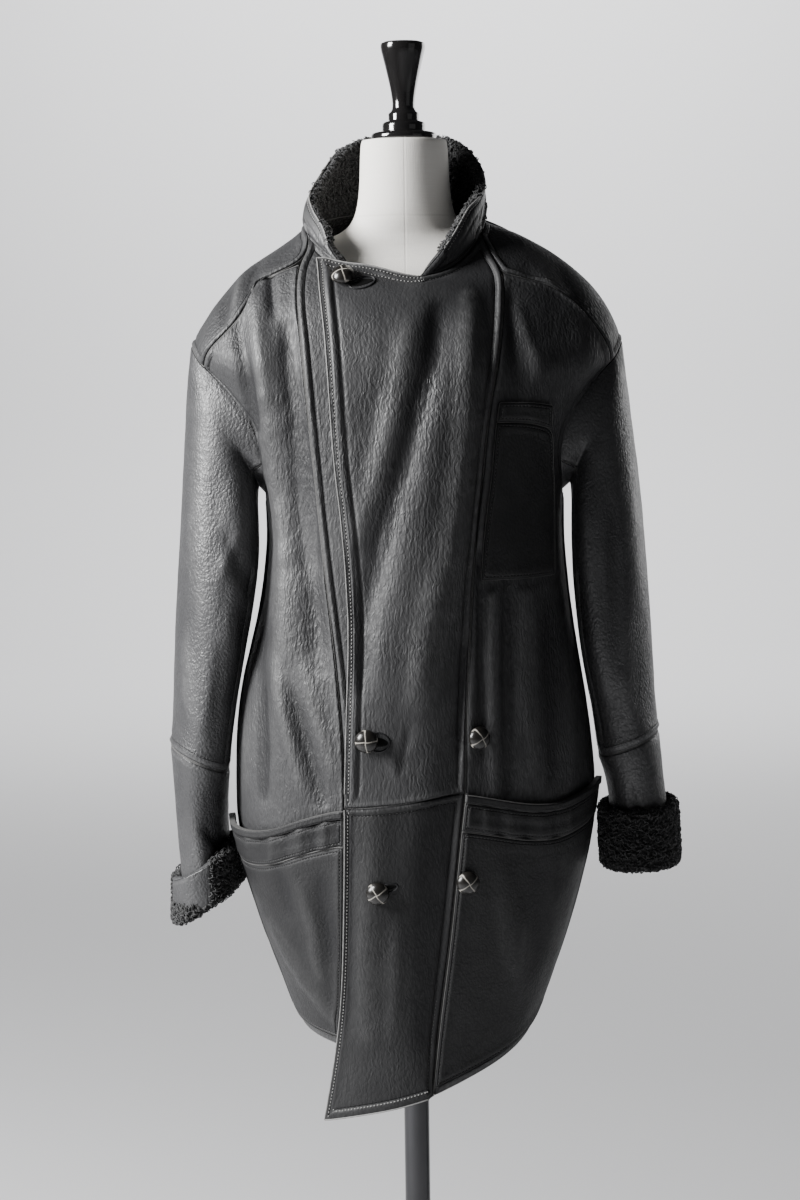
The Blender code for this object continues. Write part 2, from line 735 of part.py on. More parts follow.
# Each ring by its outermost and innermost points seen from the front, half its
# depth and where its middle lies front to back.
SLEEVE_COLUMNS = "ring x_out z_out x_in z_in depth y"
RIGHT_SLEEVE = records(SLEEVE_COLUMNS, [
    (2, 0.2615, 1.335, 0.1770, 1.193, 0.066, 0.000),
    (3, 0.2640, 1.300, 0.1800, 1.178, 0.070, 0.000),
    (4, 0.2685, 1.220, 0.1790, 1.130, 0.076, 0.000),
    (5, 0.2760, 1.130, 0.1850, 1.070, 0.080, 0.000),
    (6, 0.2830, 1.020, 0.2030, 0.990, 0.078, 0.005),
    (7, 0.2895, 0.925, 0.2170, 0.905, 0.070, 0.012),
    (8, 0.2925, 0.883, 0.2230, 0.852, 0.065, 0.015),
])
RIGHT_FOREARM = records(SLEEVE_COLUMNS, [
    (9, 0.2915, 0.830, 0.2250, 0.812, 0.062, 0.022),
    (10, 0.2880, 0.770, 0.2260, 0.788, 0.060, 0.028),
    (11, 0.2840, 0.716, 0.2250, 0.766, 0.058, 0.031),
    (12, 0.2840, 0.690, 0.2230, 0.740, 0.058, 0.033),
    (13, 0.2855, 0.660, 0.2200, 0.712, 0.058, 0.034),
])
LEFT_SLEEVE = records(SLEEVE_COLUMNS, [
    (2, 0.2605, 1.335, 0.1920, 1.193, 0.066, 0.000),
    (3, 0.2645, 1.293, 0.1955, 1.178, 0.070, 0.000),
    (4, 0.2745, 1.215, 0.1940, 1.130, 0.076, 0.000),
    (5, 0.2840, 1.120, 0.1970, 1.070, 0.078, 0.000),
    (6, 0.2890, 1.020, 0.2060, 0.990, 0.074, 0.005),
    (7, 0.2950, 0.940, 0.2190, 0.930, 0.068, 0.010),
    (8, 0.2985, 0.893, 0.2270, 0.866, 0.064, 0.012),
])
LEFT_FOREARM = records(SLEEVE_COLUMNS, [
    (9, 0.3050, 0.850, 0.2350, 0.835, 0.060, 0.012),
    (10, 0.3095, 0.806, 0.2400, 0.800, 0.058, 0.012),
    (11, 0.3110, 0.770, 0.2400, 0.765, 0.058, 0.012),
    (12, 0.3130, 0.735, 0.2420, 0.730, 0.058, 0.012),
])
SLEEVE_SQUARE = 2.15
FOREARM_SEAM = 150.0    # angles round a sleeve, as for its creases
HINDARM_SEAM = -60.0
SLEEVE_SLANT = 0.016    # the front of each ring leans in over the body's side

# Soft creases of a sleeve: rings from and to, the angle round it (0 the outer
# edge, 90 the front, 180 the inner edge) at each end, and the height.
SLEEVE_FOLDS = records("first last first_angle last_angle height half_width", [
    (2.0, 4.6, 150, 95, 0.0045, 22),
    (3.4, 6.0, 60, 110, -0.0035, 20),
    (5.0, 7.6, 130, 70, 0.0045, 20),
    (6.2, 7.9, 20, 60, -0.0030, 22),
    (2.6, 5.6, -140, -90, 0.0045, 24),
    (5.2, 7.8, -60, -120, -0.0040, 24),
])


def sleeve_fold(ring, around):
    total = 0.0
    for fold in SLEEVE_FOLDS:
        share = (ring - fold.first) / (fold.last - fold.first)
        if 0 < share < 1:
            middle = fold.first_angle + (fold.last_angle - fold.first_angle) * share
            off = ((around - middle + 180) % 360 - 180) / fold.half_width
            total += fold.height * exp(-2 * off * off) * min(1.0, 5 * share * (1 - share))
    return total


def ring_frame(row, hand):
    """A sleeve ring's middle, the way to its outermost point and the way to its front."""
    outer = Vector((hand * row.x_out, row.y, row.z_out))
    inner = Vector((hand * row.x_in, row.y, row.z_in))
    slant = SLEEVE_SLANT * min(1.0, row.ring / 4, max(0.0, (9 - row.ring) / 3))
    return (outer + inner) / 2, (outer - inner) / 2, Vector((-hand * slant, -row.depth, 0))


def ring_point(frame, around):
    centre, to_outer, to_front = frame
    power = 2 / SLEEVE_SQUARE
    along, ahead = cos(radians(around)), sin(radians(around))
    return (centre + to_outer * abs(along) ** power * (1 if along > 0 else -1)
            + to_front * abs(ahead) ** power * (1 if ahead > 0 else -1))


def armhole_ring(front, front_column, yoke, back, back_column, front_first):
    """The armhole's outer and inner points: up the front, over the crown, down the back."""
    foot = next(r for r, row in enumerate(front.lattice) if abs(row[front_column].h - ARMPIT) < 1e-6)
    top = foot + len(ARMHOLE_LEVELS)
    back_foot = next(r for r, row in enumerate(back.lattice)
                     if abs(row[back_column].h - ARMPIT) < 1e-6)
    picks = [(front, row, front_column) for row in range(foot, top + 1)]
    crown = range(1, len(yoke.lattice[0]) - 1)
    picks += [(yoke, 0, column) for column in (crown if front_first else reversed(crown))]
    picks += [(back, row, back_column)
              for row in range(back_foot + len(ARMHOLE_LEVELS), back_foot, -1)]
    outer = [skin.outside[row][column] for skin, row, column in picks]
    inner = [skin.inside[row][column] for skin, row, column in picks]
    return outer, inner


def ring_normals(rings, hand):
    """The way out of a lofted tube at each point, from its neighbours."""
    normals = []
    for r, ring in enumerate(rings):
        before, after = rings[max(r - 1, 0)], rings[min(r + 1, len(rings) - 1)]
        row = []
        for k in range(len(ring)):
            around = ring[(k + 1) % len(ring)] - ring[k - 1]
            row.append((after[k] - before[k]).cross(around).normalized() * hand)
        normals.append(row)
    return normals


def sleeve_rings(hand, armhole, tables):
    """The outer rings of a whole sleeve, its inner rings and its normals."""
    outer_edge, inner_edge = armhole
    count = len(outer_edge)
    crown = max(outer_edge, key=lambda point: point.z)
    foot = min(outer_edge, key=lambda point: point.z)
    middle, reach = (crown + foot) / 2, (crown - foot) / 2
    start_angles = [degrees(atan2(-(point - middle).y / 0.07,
                                  (point - middle).dot(reach) / reach.length_squared))
                    for point in outer_edge]
    start_angles[0] = 180.0
    rings = [outer_edge]
    for row in tables:
        relax = min(1.0, row.ring / 6)
        frame = ring_frame(row, hand)
        ring = []
        for k in range(count):
            even = 180 - 360 * k / count
            around = start_angles[k] + (even - start_angles[k]) * relax
            point = ring_point(frame, around)
            ring.append(point + (point - frame[0]).normalized() * sleeve_fold(row.ring, around))
        rings.append(ring)
    normals = ring_normals(rings, hand)
    inside = [inner_edge] + [[point - normal * BODY_WALL for point, normal in zip(*pair)]
                             for pair in list(zip(rings, normals))[1:]]
    return rings, inside, normals


def sleeve_columns(count):
    """The columns of the top sleeve and of the under sleeve, which share those at the seams."""
    front, rear = (round(count * (180 - angle) / 360) for angle in (FOREARM_SEAM, HINDARM_SEAM))
    return {"top": [*range(front, rear + 1)], "under": [*range(rear, count), *range(front + 1)]}


def raised_ring(ring, normals, height):
    return [point + normal * height for point, normal in zip(ring, normals)]


def make_sleeve(side, hand, armhole, upper, lower, cuff_rows, materials):
    """A set-in sleeve in two parts, the forearm under it and the cuff turned back over its end."""
    rings, inside, normals = sleeve_rings(hand, armhole, upper + lower)
    seam = len(upper)
    rings[seam] = raised_ring(rings[seam], normals[seam], SEAM_WELT[1].height)
    for part, columns in sleeve_columns(len(rings[0])).items():
        over, under = ([[ring[k] for k in columns] for ring in grid[:seam + 1]]
                       for grid in (rings, inside))
        wall_object("sleeve_" + part + "_" + side, materials["leather"], over, under)
    wall_object("forearm_" + side, materials["leather"], rings[seam:], inside[seam:], closed=True)
    first = len(rings) - cuff_rows
    under = [raised_ring(rings[r], normals[r], LAYER_GAP) for r in range(first, len(rings))]
    over = [raised_ring(rings[r], normals[r], LAYER_GAP + CUFF_WALL)
            for r in range(first, len(rings))]
    wall_object("cuff_" + side, materials["shearling"], over, under, closed=True)


# --------------------------------------------------------------------- collar

# The standing collar's top edge by angle: its height and its half width or depth.
COLLAR_TOP = Table("angle z reach", [
    (56, 1.521, 0.089), (72, 1.536, 0.095), (90, 1.552, 0.096), (110, 1.578, 0.094),
    (130, 1.600, 0.092), (150, 1.610, 0.090), (180, 1.612, 0.090), (210, 1.610, 0.094),
    (230, 1.597, 0.100), (250, 1.565, 0.107), (270, 1.537, 0.113), (298, 1.500, 0.108)])
COLLAR_FIRST, COLLAR_LAST = 56.0, 298.0
COLLAR_RIGHT_END = 336.0
COLLAR_BULGE = 0.009
COLLAR_SHARES = (0.0, 0.14, 0.34, 0.56, 0.78, 1.0)


def neckline_picks(panels):
    """The panels' own top points round the neck, from the V to the collar's right end."""
    picks = []
    for skin, turn in panels:
        for column, place in enumerate(skin.lattice[-1]):
            angle = place.angle + turn
            fresh = not picks or angle > picks[-1][0] + 0.5
            if fresh and V_ANGLE - 0.01 <= angle <= COLLAR_RIGHT_END:
                picks.append((angle, skin.outside[-1][column], skin.inside[-1][column]))
    return picks


def make_collar(panels, material):
    """A standing collar sewn to the neckline, open at the front."""
    picks = neckline_picks(panels)
    span = picks[-1][0] - picks[0][0]
    outside = []
    for share in COLLAR_SHARES:
        row = []
        for angle, base, _ in picks:
            top_angle = (COLLAR_FIRST
                         + (COLLAR_LAST - COLLAR_FIRST) * (angle - picks[0][0]) / span)
            away = Vector((sin(radians(top_angle)), -cos(radians(top_angle)), 0))
            top = away * COLLAR_TOP.read("reach", top_angle)
            top.z = COLLAR_TOP.read("z", top_angle)
            bulge = COLLAR_BULGE * sin(pi * share) * (1.0 - 0.4 * share)
            row.append(base.lerp(top, share) + away * bulge)
        outside.append(row)
    inside = [[inner for _, _, inner in picks]]
    for r in range(1, len(outside)):
        row = []
        for k, point in enumerate(outside[r]):
            around = outside[r][min(k + 1, len(picks) - 1)] - outside[r][max(k - 1, 0)]
            upward = outside[min(r + 1, len(outside) - 1)][k] - outside[r - 1][k]
            row.append(point - around.cross(upward).normalized() * COLLAR_WALL)
        inside.append(row)
    wall_object("collar", material, outside, inside)


# -------------------------------------------------------------------- buttons

# Where each button sits, seen from the front, and the piece that it is sewn to.
BUTTONS = records("name x z carrier", [
    ("button_neck", -0.0720, 1.4400, "front_left_middle"),
    ("button_waist_right", -0.0520, 0.9125, "front_left_middle"),
    ("button_waist_left", 0.0750, 0.9120, "front_left_side"),
    ("button_hip_right", -0.0420, 0.7340, "front_left_skirt"),
    ("button_hip_left", 0.0610, 0.7440, "pocket_left"),
])
SHANK_RADIUS = 0.004
SHANK_HEIGHT = 0.0035


def make_button(row, material):
    """A domed button on a short shank, square to the cloth under it."""
    cloth = bmesh.new()
    cloth.from_mesh(bpy.data.objects[row.carrier].data)
    surface = BVHTree.FromBMesh(cloth)
    cloth.free()
    spot, normal, _, _ = surface.ray_cast(Vector((row.x, -1.0, row.z)), Vector((0, 1, 0)))
    over = turned_rings([(SHANK_HEIGHT, SHANK_RADIUS)], 8, spot, normal)[0]
    heights = [SHANK_HEIGHT - surface.ray_cast(point, -normal)[3] for point in over]
    profile = [(0.0, SHANK_RADIUS), (SHANK_HEIGHT, SHANK_RADIUS),
               (SHANK_HEIGHT + BUTTON_HOLLOW, BUTTON_RADIUS * 0.8)]
    for step in range(5):
        lean = radians(DOME_LEAN * step / 4)
        profile.append((SHANK_HEIGHT + BUTTON_RIM + (BUTTON_HEIGHT - BUTTON_RIM) * sin(lean),
                        BUTTON_RADIUS * cos(lean) ** 0.8))
    foot = spot + normal * (max(0.0, *heights) + SEAM_GAP)
    rings = turned_rings(profile, 12, foot, normal)
    lofted_object(row.name, material, rings, sharp=50)


# --------------------------------------------------------- dress form and stand

# The form's sections from its foot to its neck.
FORM = records("z half front back", [
    (0.720, 0.150, 0.110, 0.112),
    (0.735, 0.157, 0.117, 0.119),
    (0.820, 0.165, 0.122, 0.124),
    (0.920, 0.145, 0.110, 0.112),
    (1.000, 0.122, 0.098, 0.100),
    (1.090, 0.136, 0.106, 0.104),
    (1.180, 0.150, 0.120, 0.110),
    (1.250, 0.158, 0.120, 0.114),
    (1.330, 0.176, 0.102, 0.116),
    (1.380, 0.182, 0.084, 0.110),
    (1.428, 0.180, 0.066, 0.094),
    (1.450, 0.170, 0.055, 0.082),
    (1.4643, 0.155, 0.046, 0.075),
    (1.4755, 0.130, 0.042, 0.069),
    (1.4858, 0.098, 0.042, 0.063),
    (1.4955, 0.073, 0.043, 0.059),
    (1.510, 0.060, 0.049, 0.056),
    (1.540, 0.0535, 0.0515, 0.053),
    (1.596, 0.0526, 0.0515, 0.0515),
    (1.602, 0.0500, 0.0490, 0.0490),
])
NECK_TOP = 1.602

# The turned cap over the neck, by height and radius.
CAP = records("z radius", [
    (NECK_TOP + 0.0003, 0.0387), (1.608, 0.0387), (1.611, 0.0360), (1.612, 0.0256),
    (1.622, 0.0240), (1.625, 0.0180), (1.633, 0.0180), (1.636, 0.0140), (1.645, 0.0130),
    (1.668, 0.0165), (1.692, 0.0220), (1.706, 0.0255), (1.712, 0.0262), (1.716, 0.0235)])


def form_ring(row):
    ring = []
    for k in range(FORM_SIDES):
        angle = 2 * pi * k / FORM_SIDES
        side, ahead = sin(angle), cos(angle)
        depth = row.front if ahead > 0 else row.back
        ring.append(Vector((row.half * side, -depth * ahead, row.z)))
    return ring


def make_form(materials):
    lofted_object("form_torso", materials["linen"], [form_ring(row) for row in FORM], sharp=60)
    profile = [(row.z, row.radius) for row in CAP]
    lofted_object("form_cap", materials["lacquer"], turned_rings(profile, 20), sharp=30)


def make_stand(materials):
    """The pole, its collar and the round base, which rests flat."""
    hub_top = 0.060
    base = [(0.0, BASE_RADIUS - 0.003), (0.003, BASE_RADIUS), (BASE_THICKNESS - 0.004, BASE_RADIUS),
            (BASE_THICKNESS, BASE_RADIUS - 0.006), (BASE_THICKNESS + 0.006, 0.045),
            (BASE_THICKNESS + 0.012, 0.028), (hub_top, 0.024)]
    lofted_object("stand_base", materials["base_metal"], turned_rings(base, 40), sharp=30)
    pole = [(hub_top + SEAM_GAP, POLE_RADIUS), (FORM_BOTTOM - SEAM_GAP, POLE_RADIUS)]
    lofted_object("stand_pole", materials["pole_metal"], turned_rings(pole, 16), sharp=30)


# ----------------------------------------------------------------------- build

def make_breast_pocket(skin, material):
    """A flat patch pocket on the left side front, with a band along its top."""
    levels = [places[0].h for places in skin.lattice]
    bottom, band, top = (min(range(len(levels)), key=lambda r: abs(levels[r] - level))
                         for level in (BREAST_BOTTOM, *BREAST_BAND))
    for name, rows, thicker in (("breast_pocket", range(bottom, band + 1), 0.0),
                                ("breast_pocket_band", range(band, top + 1), 0.0012)):
        over, under = pocket_patch(skin, rows, BREAST_COLUMNS, [lambda column: 0.0] * len(rows))
        over = [[point + skin.normals[row][column] * (thicker - BREAST_THINNER)
                 for point, column in zip(points, BREAST_COLUMNS)]
                for points, row in zip(over, rows)]
        wall_object(name, material, over, under)


def make_coat(materials):
    leather = materials["leather"]
    right_side = Skin(right_side_lattice())
    left_side = Skin(left_side_lattice())
    underlap = Skin(underlap_lattice())
    overlap = Skin(overlap_lattice(), lift=overlap_lift)
    overlap_skirt = Skin(overlap_skirt_lattice(), lift=overlap_lift)
    back_left = Skin(back_lattice(back_left_seam, back_centre_seam))
    back_right = Skin(back_lattice(back_centre_seam, back_right_seam))
    straighten_top(right_side)
    straighten_top(left_side)
    yoke_left = Skin(yoke_lattice(yoke_front_left, back_left_seam))
    yoke_right = Skin(yoke_lattice(back_right_seam, yoke_front_right))
    panels = {"front_right_side": right_side, "front_left_side": left_side,
              "front_right_middle": underlap, "front_left_middle": overlap,
              "front_left_skirt": overlap_skirt,
              "back_left": back_left, "back_right": back_right,
              "yoke_left": yoke_left, "yoke_right": yoke_right}
    for name, skin in panels.items():
        wall_object(name, leather, skin.outside, skin.inside)

    last = len(right_side.lattice[0]) - 1
    make_hip_pocket("right", right_side, range(0, last + 1), leather)
    make_hip_pocket("left", left_side, range(0, last + 1), leather)
    make_breast_pocket(left_side, leather)

    left_armhole = armhole_ring(left_side, -1, yoke_left, back_left, 0, front_first=True)
    right_armhole = armhole_ring(right_side, 0, yoke_right, back_right, -1, front_first=False)
    make_sleeve("left", 1, left_armhole, LEFT_SLEEVE, LEFT_FOREARM, 3, materials)
    make_sleeve("right", -1, right_armhole, RIGHT_SLEEVE, RIGHT_FOREARM, 3, materials)
    make_collar([(overlap, 0), (yoke_left, 0), (back_left, 0), (back_right, 0),
                 (yoke_right, 0), (underlap, 360)], leather)
    for row in BUTTONS:
        make_button(row, materials["button"])


def main():
    clear_scene()
    materials = {
        "leather": finish_material("leather", (0.030, 0.030, 0.032), 0.42),
        "shearling": finish_material("shearling", (0.018, 0.018, 0.019), 0.95),
        "button": finish_material("button", (0.020, 0.019, 0.018), 0.40),
        "linen": finish_material("linen", (0.80, 0.77, 0.71), 0.85),
        "lacquer": finish_material("lacquer", (0.008, 0.008, 0.008), 0.12),
        "pole_metal": finish_material("pole_metal", (0.10, 0.10, 0.10), 0.25, 1.0),
        "base_metal": finish_material("base_metal", (0.02, 0.02, 0.02), 0.35, 1.0),
    }
    make_coat(materials)
    make_form(materials)
    make_stand(materials)


main()
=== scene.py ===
import math
import random

import bmesh
import bpy
import numpy as np
from mathutils import Matrix, Vector, kdtree, noise
from mathutils.bvhtree import BVHTree


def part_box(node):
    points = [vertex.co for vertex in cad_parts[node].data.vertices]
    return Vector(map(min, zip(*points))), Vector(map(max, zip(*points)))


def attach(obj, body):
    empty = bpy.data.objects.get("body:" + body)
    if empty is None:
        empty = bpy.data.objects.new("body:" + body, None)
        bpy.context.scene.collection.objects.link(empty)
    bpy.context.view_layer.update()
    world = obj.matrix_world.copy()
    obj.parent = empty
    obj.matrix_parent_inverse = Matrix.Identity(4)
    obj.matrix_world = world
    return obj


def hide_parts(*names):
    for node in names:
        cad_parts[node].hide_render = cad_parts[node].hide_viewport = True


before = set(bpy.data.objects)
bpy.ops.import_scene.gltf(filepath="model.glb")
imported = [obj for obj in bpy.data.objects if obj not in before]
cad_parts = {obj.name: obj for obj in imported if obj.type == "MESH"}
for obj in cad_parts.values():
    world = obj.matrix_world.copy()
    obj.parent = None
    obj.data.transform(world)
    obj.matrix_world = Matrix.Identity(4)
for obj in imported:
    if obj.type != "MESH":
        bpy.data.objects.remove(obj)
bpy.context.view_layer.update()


# ------------------------------------------------------------------ stand base
# The round foot of the stand, cast iron with a satin black coat. It was turned
# on its top face and rim, and its hub takes the pole.

class Signal:
    """A socket in an expression; each operator adds the Math node that it names."""

    def __init__(self, finish, socket):
        self.finish = finish
        self.socket = socket

    def maths(self, operation, *values):
        return self.finish.node("ShaderNodeMath", {"operation": operation}, dict(enumerate(values)))

    def __add__(self, other):
        return self.maths("ADD", self, other)

    def __sub__(self, other):
        return self.maths("SUBTRACT", self, other)

    def __rsub__(self, other):
        return self.maths("SUBTRACT", other, self)

    def __mul__(self, other):
        return self.maths("MULTIPLY", self, other)

    def __abs__(self):
        return self.maths("ABSOLUTE", self)

    __radd__ = __add__
    __rmul__ = __mul__


class Finish:
    """A material: its shader's own constants, and nodes for what varies over it."""

    def __init__(self, name, constants):
        self.material = bpy.data.materials.new(name)
        self.material.use_nodes = True
        self.tree = self.material.node_tree
        self.shader = self.tree.nodes["Principled BSDF"]
        for socket, value in constants.items():
            self.shader.inputs[socket].default_value = value

    def node(self, kind, settings, sockets, output=0):
        """A new node's output: its settings first, then its sockets' values or links."""
        made = self.tree.nodes.new(kind)
        for setting, value in settings.items():
            setattr(made, setting, value)
        for socket, value in sockets.items():
            if isinstance(value, Signal):
                self.tree.links.new(value.socket, made.inputs[socket])
            else:
                made.inputs[socket].default_value = value
        return Signal(self, made.outputs[output])

    def place(self, stretch=(1, 1, 1)):
        """Object coordinates, closer together or further apart along each axis."""
        where = self.node("ShaderNodeTexCoord", {}, {}, "Object")
        return self.node("ShaderNodeMapping", {}, {"Vector": where, "Scale": stretch})

    def swayed(self, where, scale, reach):
        """A place moved about by noise, so that a pattern on it runs unevenly."""
        drift = self.node("ShaderNodeTexNoise", {},
                          {"Vector": where, "Scale": scale, "Detail": 2.0}, "Color")
        return self.node("ShaderNodeVectorMath", {"operation": "MULTIPLY_ADD"},
                         {0: drift, 1: (reach, reach, reach), 2: where})

    def noise(self, where, scale, detail=2.0, roughness=0.5, distortion=0.0):
        return self.node("ShaderNodeTexNoise", {}, {
            "Vector": where, "Scale": scale, "Detail": detail, "Roughness": roughness,
            "Distortion": distortion})

    def cells(self, where, scale, smooth):
        """Distances to the middles of rounded cells."""
        return self.node("ShaderNodeTexVoronoi", {"feature": "SMOOTH_F1"},
                         {"Vector": where, "Scale": scale, "Smoothness": smooth}, "Distance")

    def between(self, value, low, high):
        """A soft step of a value: 0 below low, 1 above high."""
        return self.node("ShaderNodeMapRange", {"interpolation_type": "SMOOTHSTEP"},
                         {"Value": value, 1: low, 2: high, 3: 0.0, 4: 1.0})

    def attribute(self, name):
        return self.node("ShaderNodeAttribute", {"attribute_name": name}, {}, "Fac")

    def colour(self, share, first, second):
        """One colour at 0 and the other at 1."""
        pair = [c if isinstance(c, Signal) else (*c, 1.0) for c in (first, second)]
        return self.node("ShaderNodeMix", {"data_type": "RGBA"},
                         {0: share, 6: pair[0], 7: pair[1]}, 2)

    def mottled(self, scale, detail, first, second):
        """A colour that wanders from one tone to another over the piece."""
        return self.colour(self.noise(self.place(), scale, detail), first, second)

    def bump(self, height, distance, strength=1.0):
        return self.node("ShaderNodeBump", {},
                         {"Height": height, "Distance": distance, "Strength": strength}, "Normal")

    def feed(self, **signals):
        for socket, signal in signals.items():
            self.tree.links.new(signal.socket, self.shader.inputs[socket.replace("_", " ")])


def shown(name, mesh, *finishes):
    """A mesh with its finishes as an object in the frame, shaded smooth."""
    mesh.shade_smooth()
    for finish in finishes:
        mesh.materials.append(finish.material)
    made = bpy.data.objects.new(name, mesh)
    bpy.context.scene.collection.objects.link(made)
    return made


def finished(name, work, *finishes):
    """A bmesh as a piece with crisp steep edges, riding on the one body."""
    mesh = bpy.data.meshes.new(name)
    work.to_mesh(mesh)
    work.free()
    made = shown(name, mesh, *finishes)
    mesh.set_sharp_from_angle(angle=math.radians(35))
    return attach(made, "root")


def turned(name, profile, finish, sides):
    """A profile of radii and heights in millimetres, spun once round the pole's axis."""
    work = bmesh.new()
    points = [work.verts.new((radius / 1000, 0, height / 1000)) for radius, height in profile]
    edges = [work.edges.new(pair) for pair in zip(points, points[1:])]
    bmesh.ops.spin(work, geom=points + edges, cent=(0, 0, 0), axis=(0, 0, 1), angle=math.tau,
                   steps=sides, use_merge=True)
    bmesh.ops.remove_doubles(work, verts=work.verts, dist=1e-5)
    bmesh.ops.recalc_face_normals(work, faces=work.faces)
    return finished(name, work, finish)


iron = Finish("satin_black_iron", {"Metallic": 0.0, "Roughness": 0.38, "Coat Weight": 0.25,
                                   "Coat Roughness": 0.2})
cast_skin = iron.noise(iron.place(), 260, 3)
iron.feed(Base_Color=iron.mottled(9, 3, (0.012, 0.012, 0.013), (0.026, 0.026, 0.028)),
          Roughness=0.30 + 0.16 * iron.noise(iron.place(), 30, 4),
          Normal=iron.bump(cast_skin, 0.0003, 0.35))

base = turned("base_plate", [
    (0, 0), (201.5, 0), (203.8, 1), (205, 3.4), (205, 11.5), (204.2, 14), (201.5, 15.7),
    (197, 16.4), (120, 18.8), (46, 21.8), (34, 23.5), (28.5, 27.5), (26.2, 34), (24.7, 46),
    (24.3, 58.5), (23.2, 60), (0, 60)], iron, 96)
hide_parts("stand_base")


# ------------------------------------------------------------------------ pole
# A straight steel tube plated in dark chrome, polished all round, which runs up
# from the hub into the form's foot. A thin ring hides its joint with the hub.

chrome = Finish("dark_chrome", {"Metallic": 1.0})
drawn = chrome.noise(chrome.place((1, 1, 0.02)), 700, 2)
chrome.feed(Base_Color=chrome.mottled(14, 3, (0.045, 0.045, 0.047), (0.080, 0.080, 0.083)),
            Roughness=0.13 + 0.09 * drawn,
            Normal=chrome.bump(drawn, 0.00004, 0.3))

pole = turned("pole", [
    (0, 60.4), (21.2, 60.4), (21.8, 61.2), (21.8, 66.8), (21, 68.2), (16.5, 69.4), (15.5, 70.2),
    (15.5, 719), (14.8, 719.6), (0, 719.6)], chrome, 48)
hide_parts("stand_pole")


# ------------------------------------------------------------------ dress form
# The limbless form: a padded shell under a skin of undyed linen, seamed down
# the middle and round the foot of the neck. Nothing is printed on it.

linen = Finish("undyed_linen", {"Sheen Weight": 0.12, "Sheen Roughness": 0.5,
                                "Specular IOR Level": 0.25})
weft = linen.noise(linen.place((1, 1, 26)), 60, 2, distortion=0.15)
warp = linen.noise(linen.place((22, 22, 1)), 60, 2, distortion=0.15)
slub = linen.noise(linen.place((1, 1, 8)), 40, 3)
across = linen.node("ShaderNodeSeparateXYZ", {}, {0: linen.place()}, "X")
up = linen.node("ShaderNodeSeparateXYZ", {}, {0: linen.place()}, "Z")
foot_of_neck = 1.513
middle_seam = 1 - linen.between(abs(across), 0.0003, 0.0016)
neck_seam = 1 - linen.between(abs(up - foot_of_neck), 0.0003, 0.0018)
worn = linen.noise(linen.place(), 7, 3)
cloth = linen.colour(worn * 0.6 + slub * 0.4, (0.90, 0.88, 0.84), (0.76, 0.73, 0.67))
linen.feed(Base_Color=linen.colour(middle_seam.maths("MAXIMUM", middle_seam, neck_seam) * 0.16,
                                   cloth, (0.42, 0.40, 0.36)),
           Roughness=0.78 + 0.12 * slub,
           Normal=linen.bump(0.5 * weft + 0.5 * warp - 0.4 * middle_seam - 0.3 * neck_seam,
                             0.0006, 0.55))


def merged_copy(node):
    """A node's loose triangles as one skin of quads, in a bmesh of its own."""
    work = bmesh.new()
    work.from_mesh(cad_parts[node].data)
    bmesh.ops.remove_doubles(work, verts=work.verts, dist=1e-6)
    bmesh.ops.join_triangles(work, faces=work.faces, angle_face_threshold=math.radians(60),
                             angle_shape_threshold=math.pi)
    return work


def creased(work, turn, crease):
    """Folds that turn by more than an angle keep that much of their edge when rounded."""
    layers = work.edges.layers.float
    layer = layers.get("crease_edge") or layers.new("crease_edge")
    for edge in work.edges:
        if len(edge.link_faces) == 2 and edge.calc_face_angle(0) > turn:
            edge[layer] = crease


def rounded(made, levels):
    """The piece with its subdivision worked into its mesh."""
    surface = made.modifiers.new("rounding", "SUBSURF")
    surface.levels = surface.render_levels = levels
    surface.boundary_smooth = "PRESERVE_CORNERS"
    graph = bpy.context.evaluated_depsgraph_get()
    mesh = bpy.data.meshes.new_from_object(made.evaluated_get(graph), depsgraph=graph)
    made.modifiers.clear()
    old, made.data = made.data, mesh
    bpy.data.meshes.remove(old)
    mesh.name = made.name
    if "custom_normal" in mesh.attributes:
        mesh.attributes.remove(mesh.attributes["custom_normal"])
    return made


work = merged_copy("form_torso")
creased(work, math.radians(40), 0.8)
torso = rounded(finished("dress_form", work, linen), 2)
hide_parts("form_torso")


# ------------------------------------------------------------------- form's cap
# The turned wooden finial over the neck, a flange, two rings and a flared
# handle, finished in black gloss lacquer and screwed down through the neck.

lacquer = Finish("black_gloss_lacquer", {"Coat Weight": 1.0, "Coat Roughness": 0.03,
                                         "Coat IOR": 1.5, "Specular IOR Level": 0.6})
lacquer.feed(Base_Color=lacquer.colour(lacquer.noise(lacquer.place((1, 1, 0.3)), 30, 3),
                                       (0.004, 0.004, 0.004), (0.012, 0.011, 0.011)),
             Roughness=0.08 + 0.10 * lacquer.noise(lacquer.place(), 60, 3),
             Normal=lacquer.bump(lacquer.noise(lacquer.place(), 45, 2), 0.0004, 0.15))

cap = turned("cap", [
    (0, 1602.3), (36.5, 1602.3), (38.3, 1603.2), (38.7, 1605), (38.7, 1607.2), (38, 1609.2),
    (36.2, 1610.6), (33.5, 1611.4), (27.5, 1611.9), (25.6, 1612.8), (25.2, 1615), (25.4, 1618),
    (25.2, 1620.5), (24.2, 1622.3), (22.2, 1623.6), (19.2, 1624.2), (18, 1625.2), (17.9, 1629),
    (18.2, 1631.8), (17.6, 1633.5), (15.8, 1634.8), (14, 1637.2), (13.1, 1641), (13, 1645),
    (13.6, 1651), (14.8, 1659), (16.8, 1669), (19.3, 1680), (22, 1691.5), (24.1, 1700),
    (25.6, 1705.8), (26.2, 1710), (26.2, 1712.5), (25.5, 1714.5), (23.6, 1715.8), (19, 1716),
    (0, 1716)], lacquer, 72)
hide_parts("form_cap")


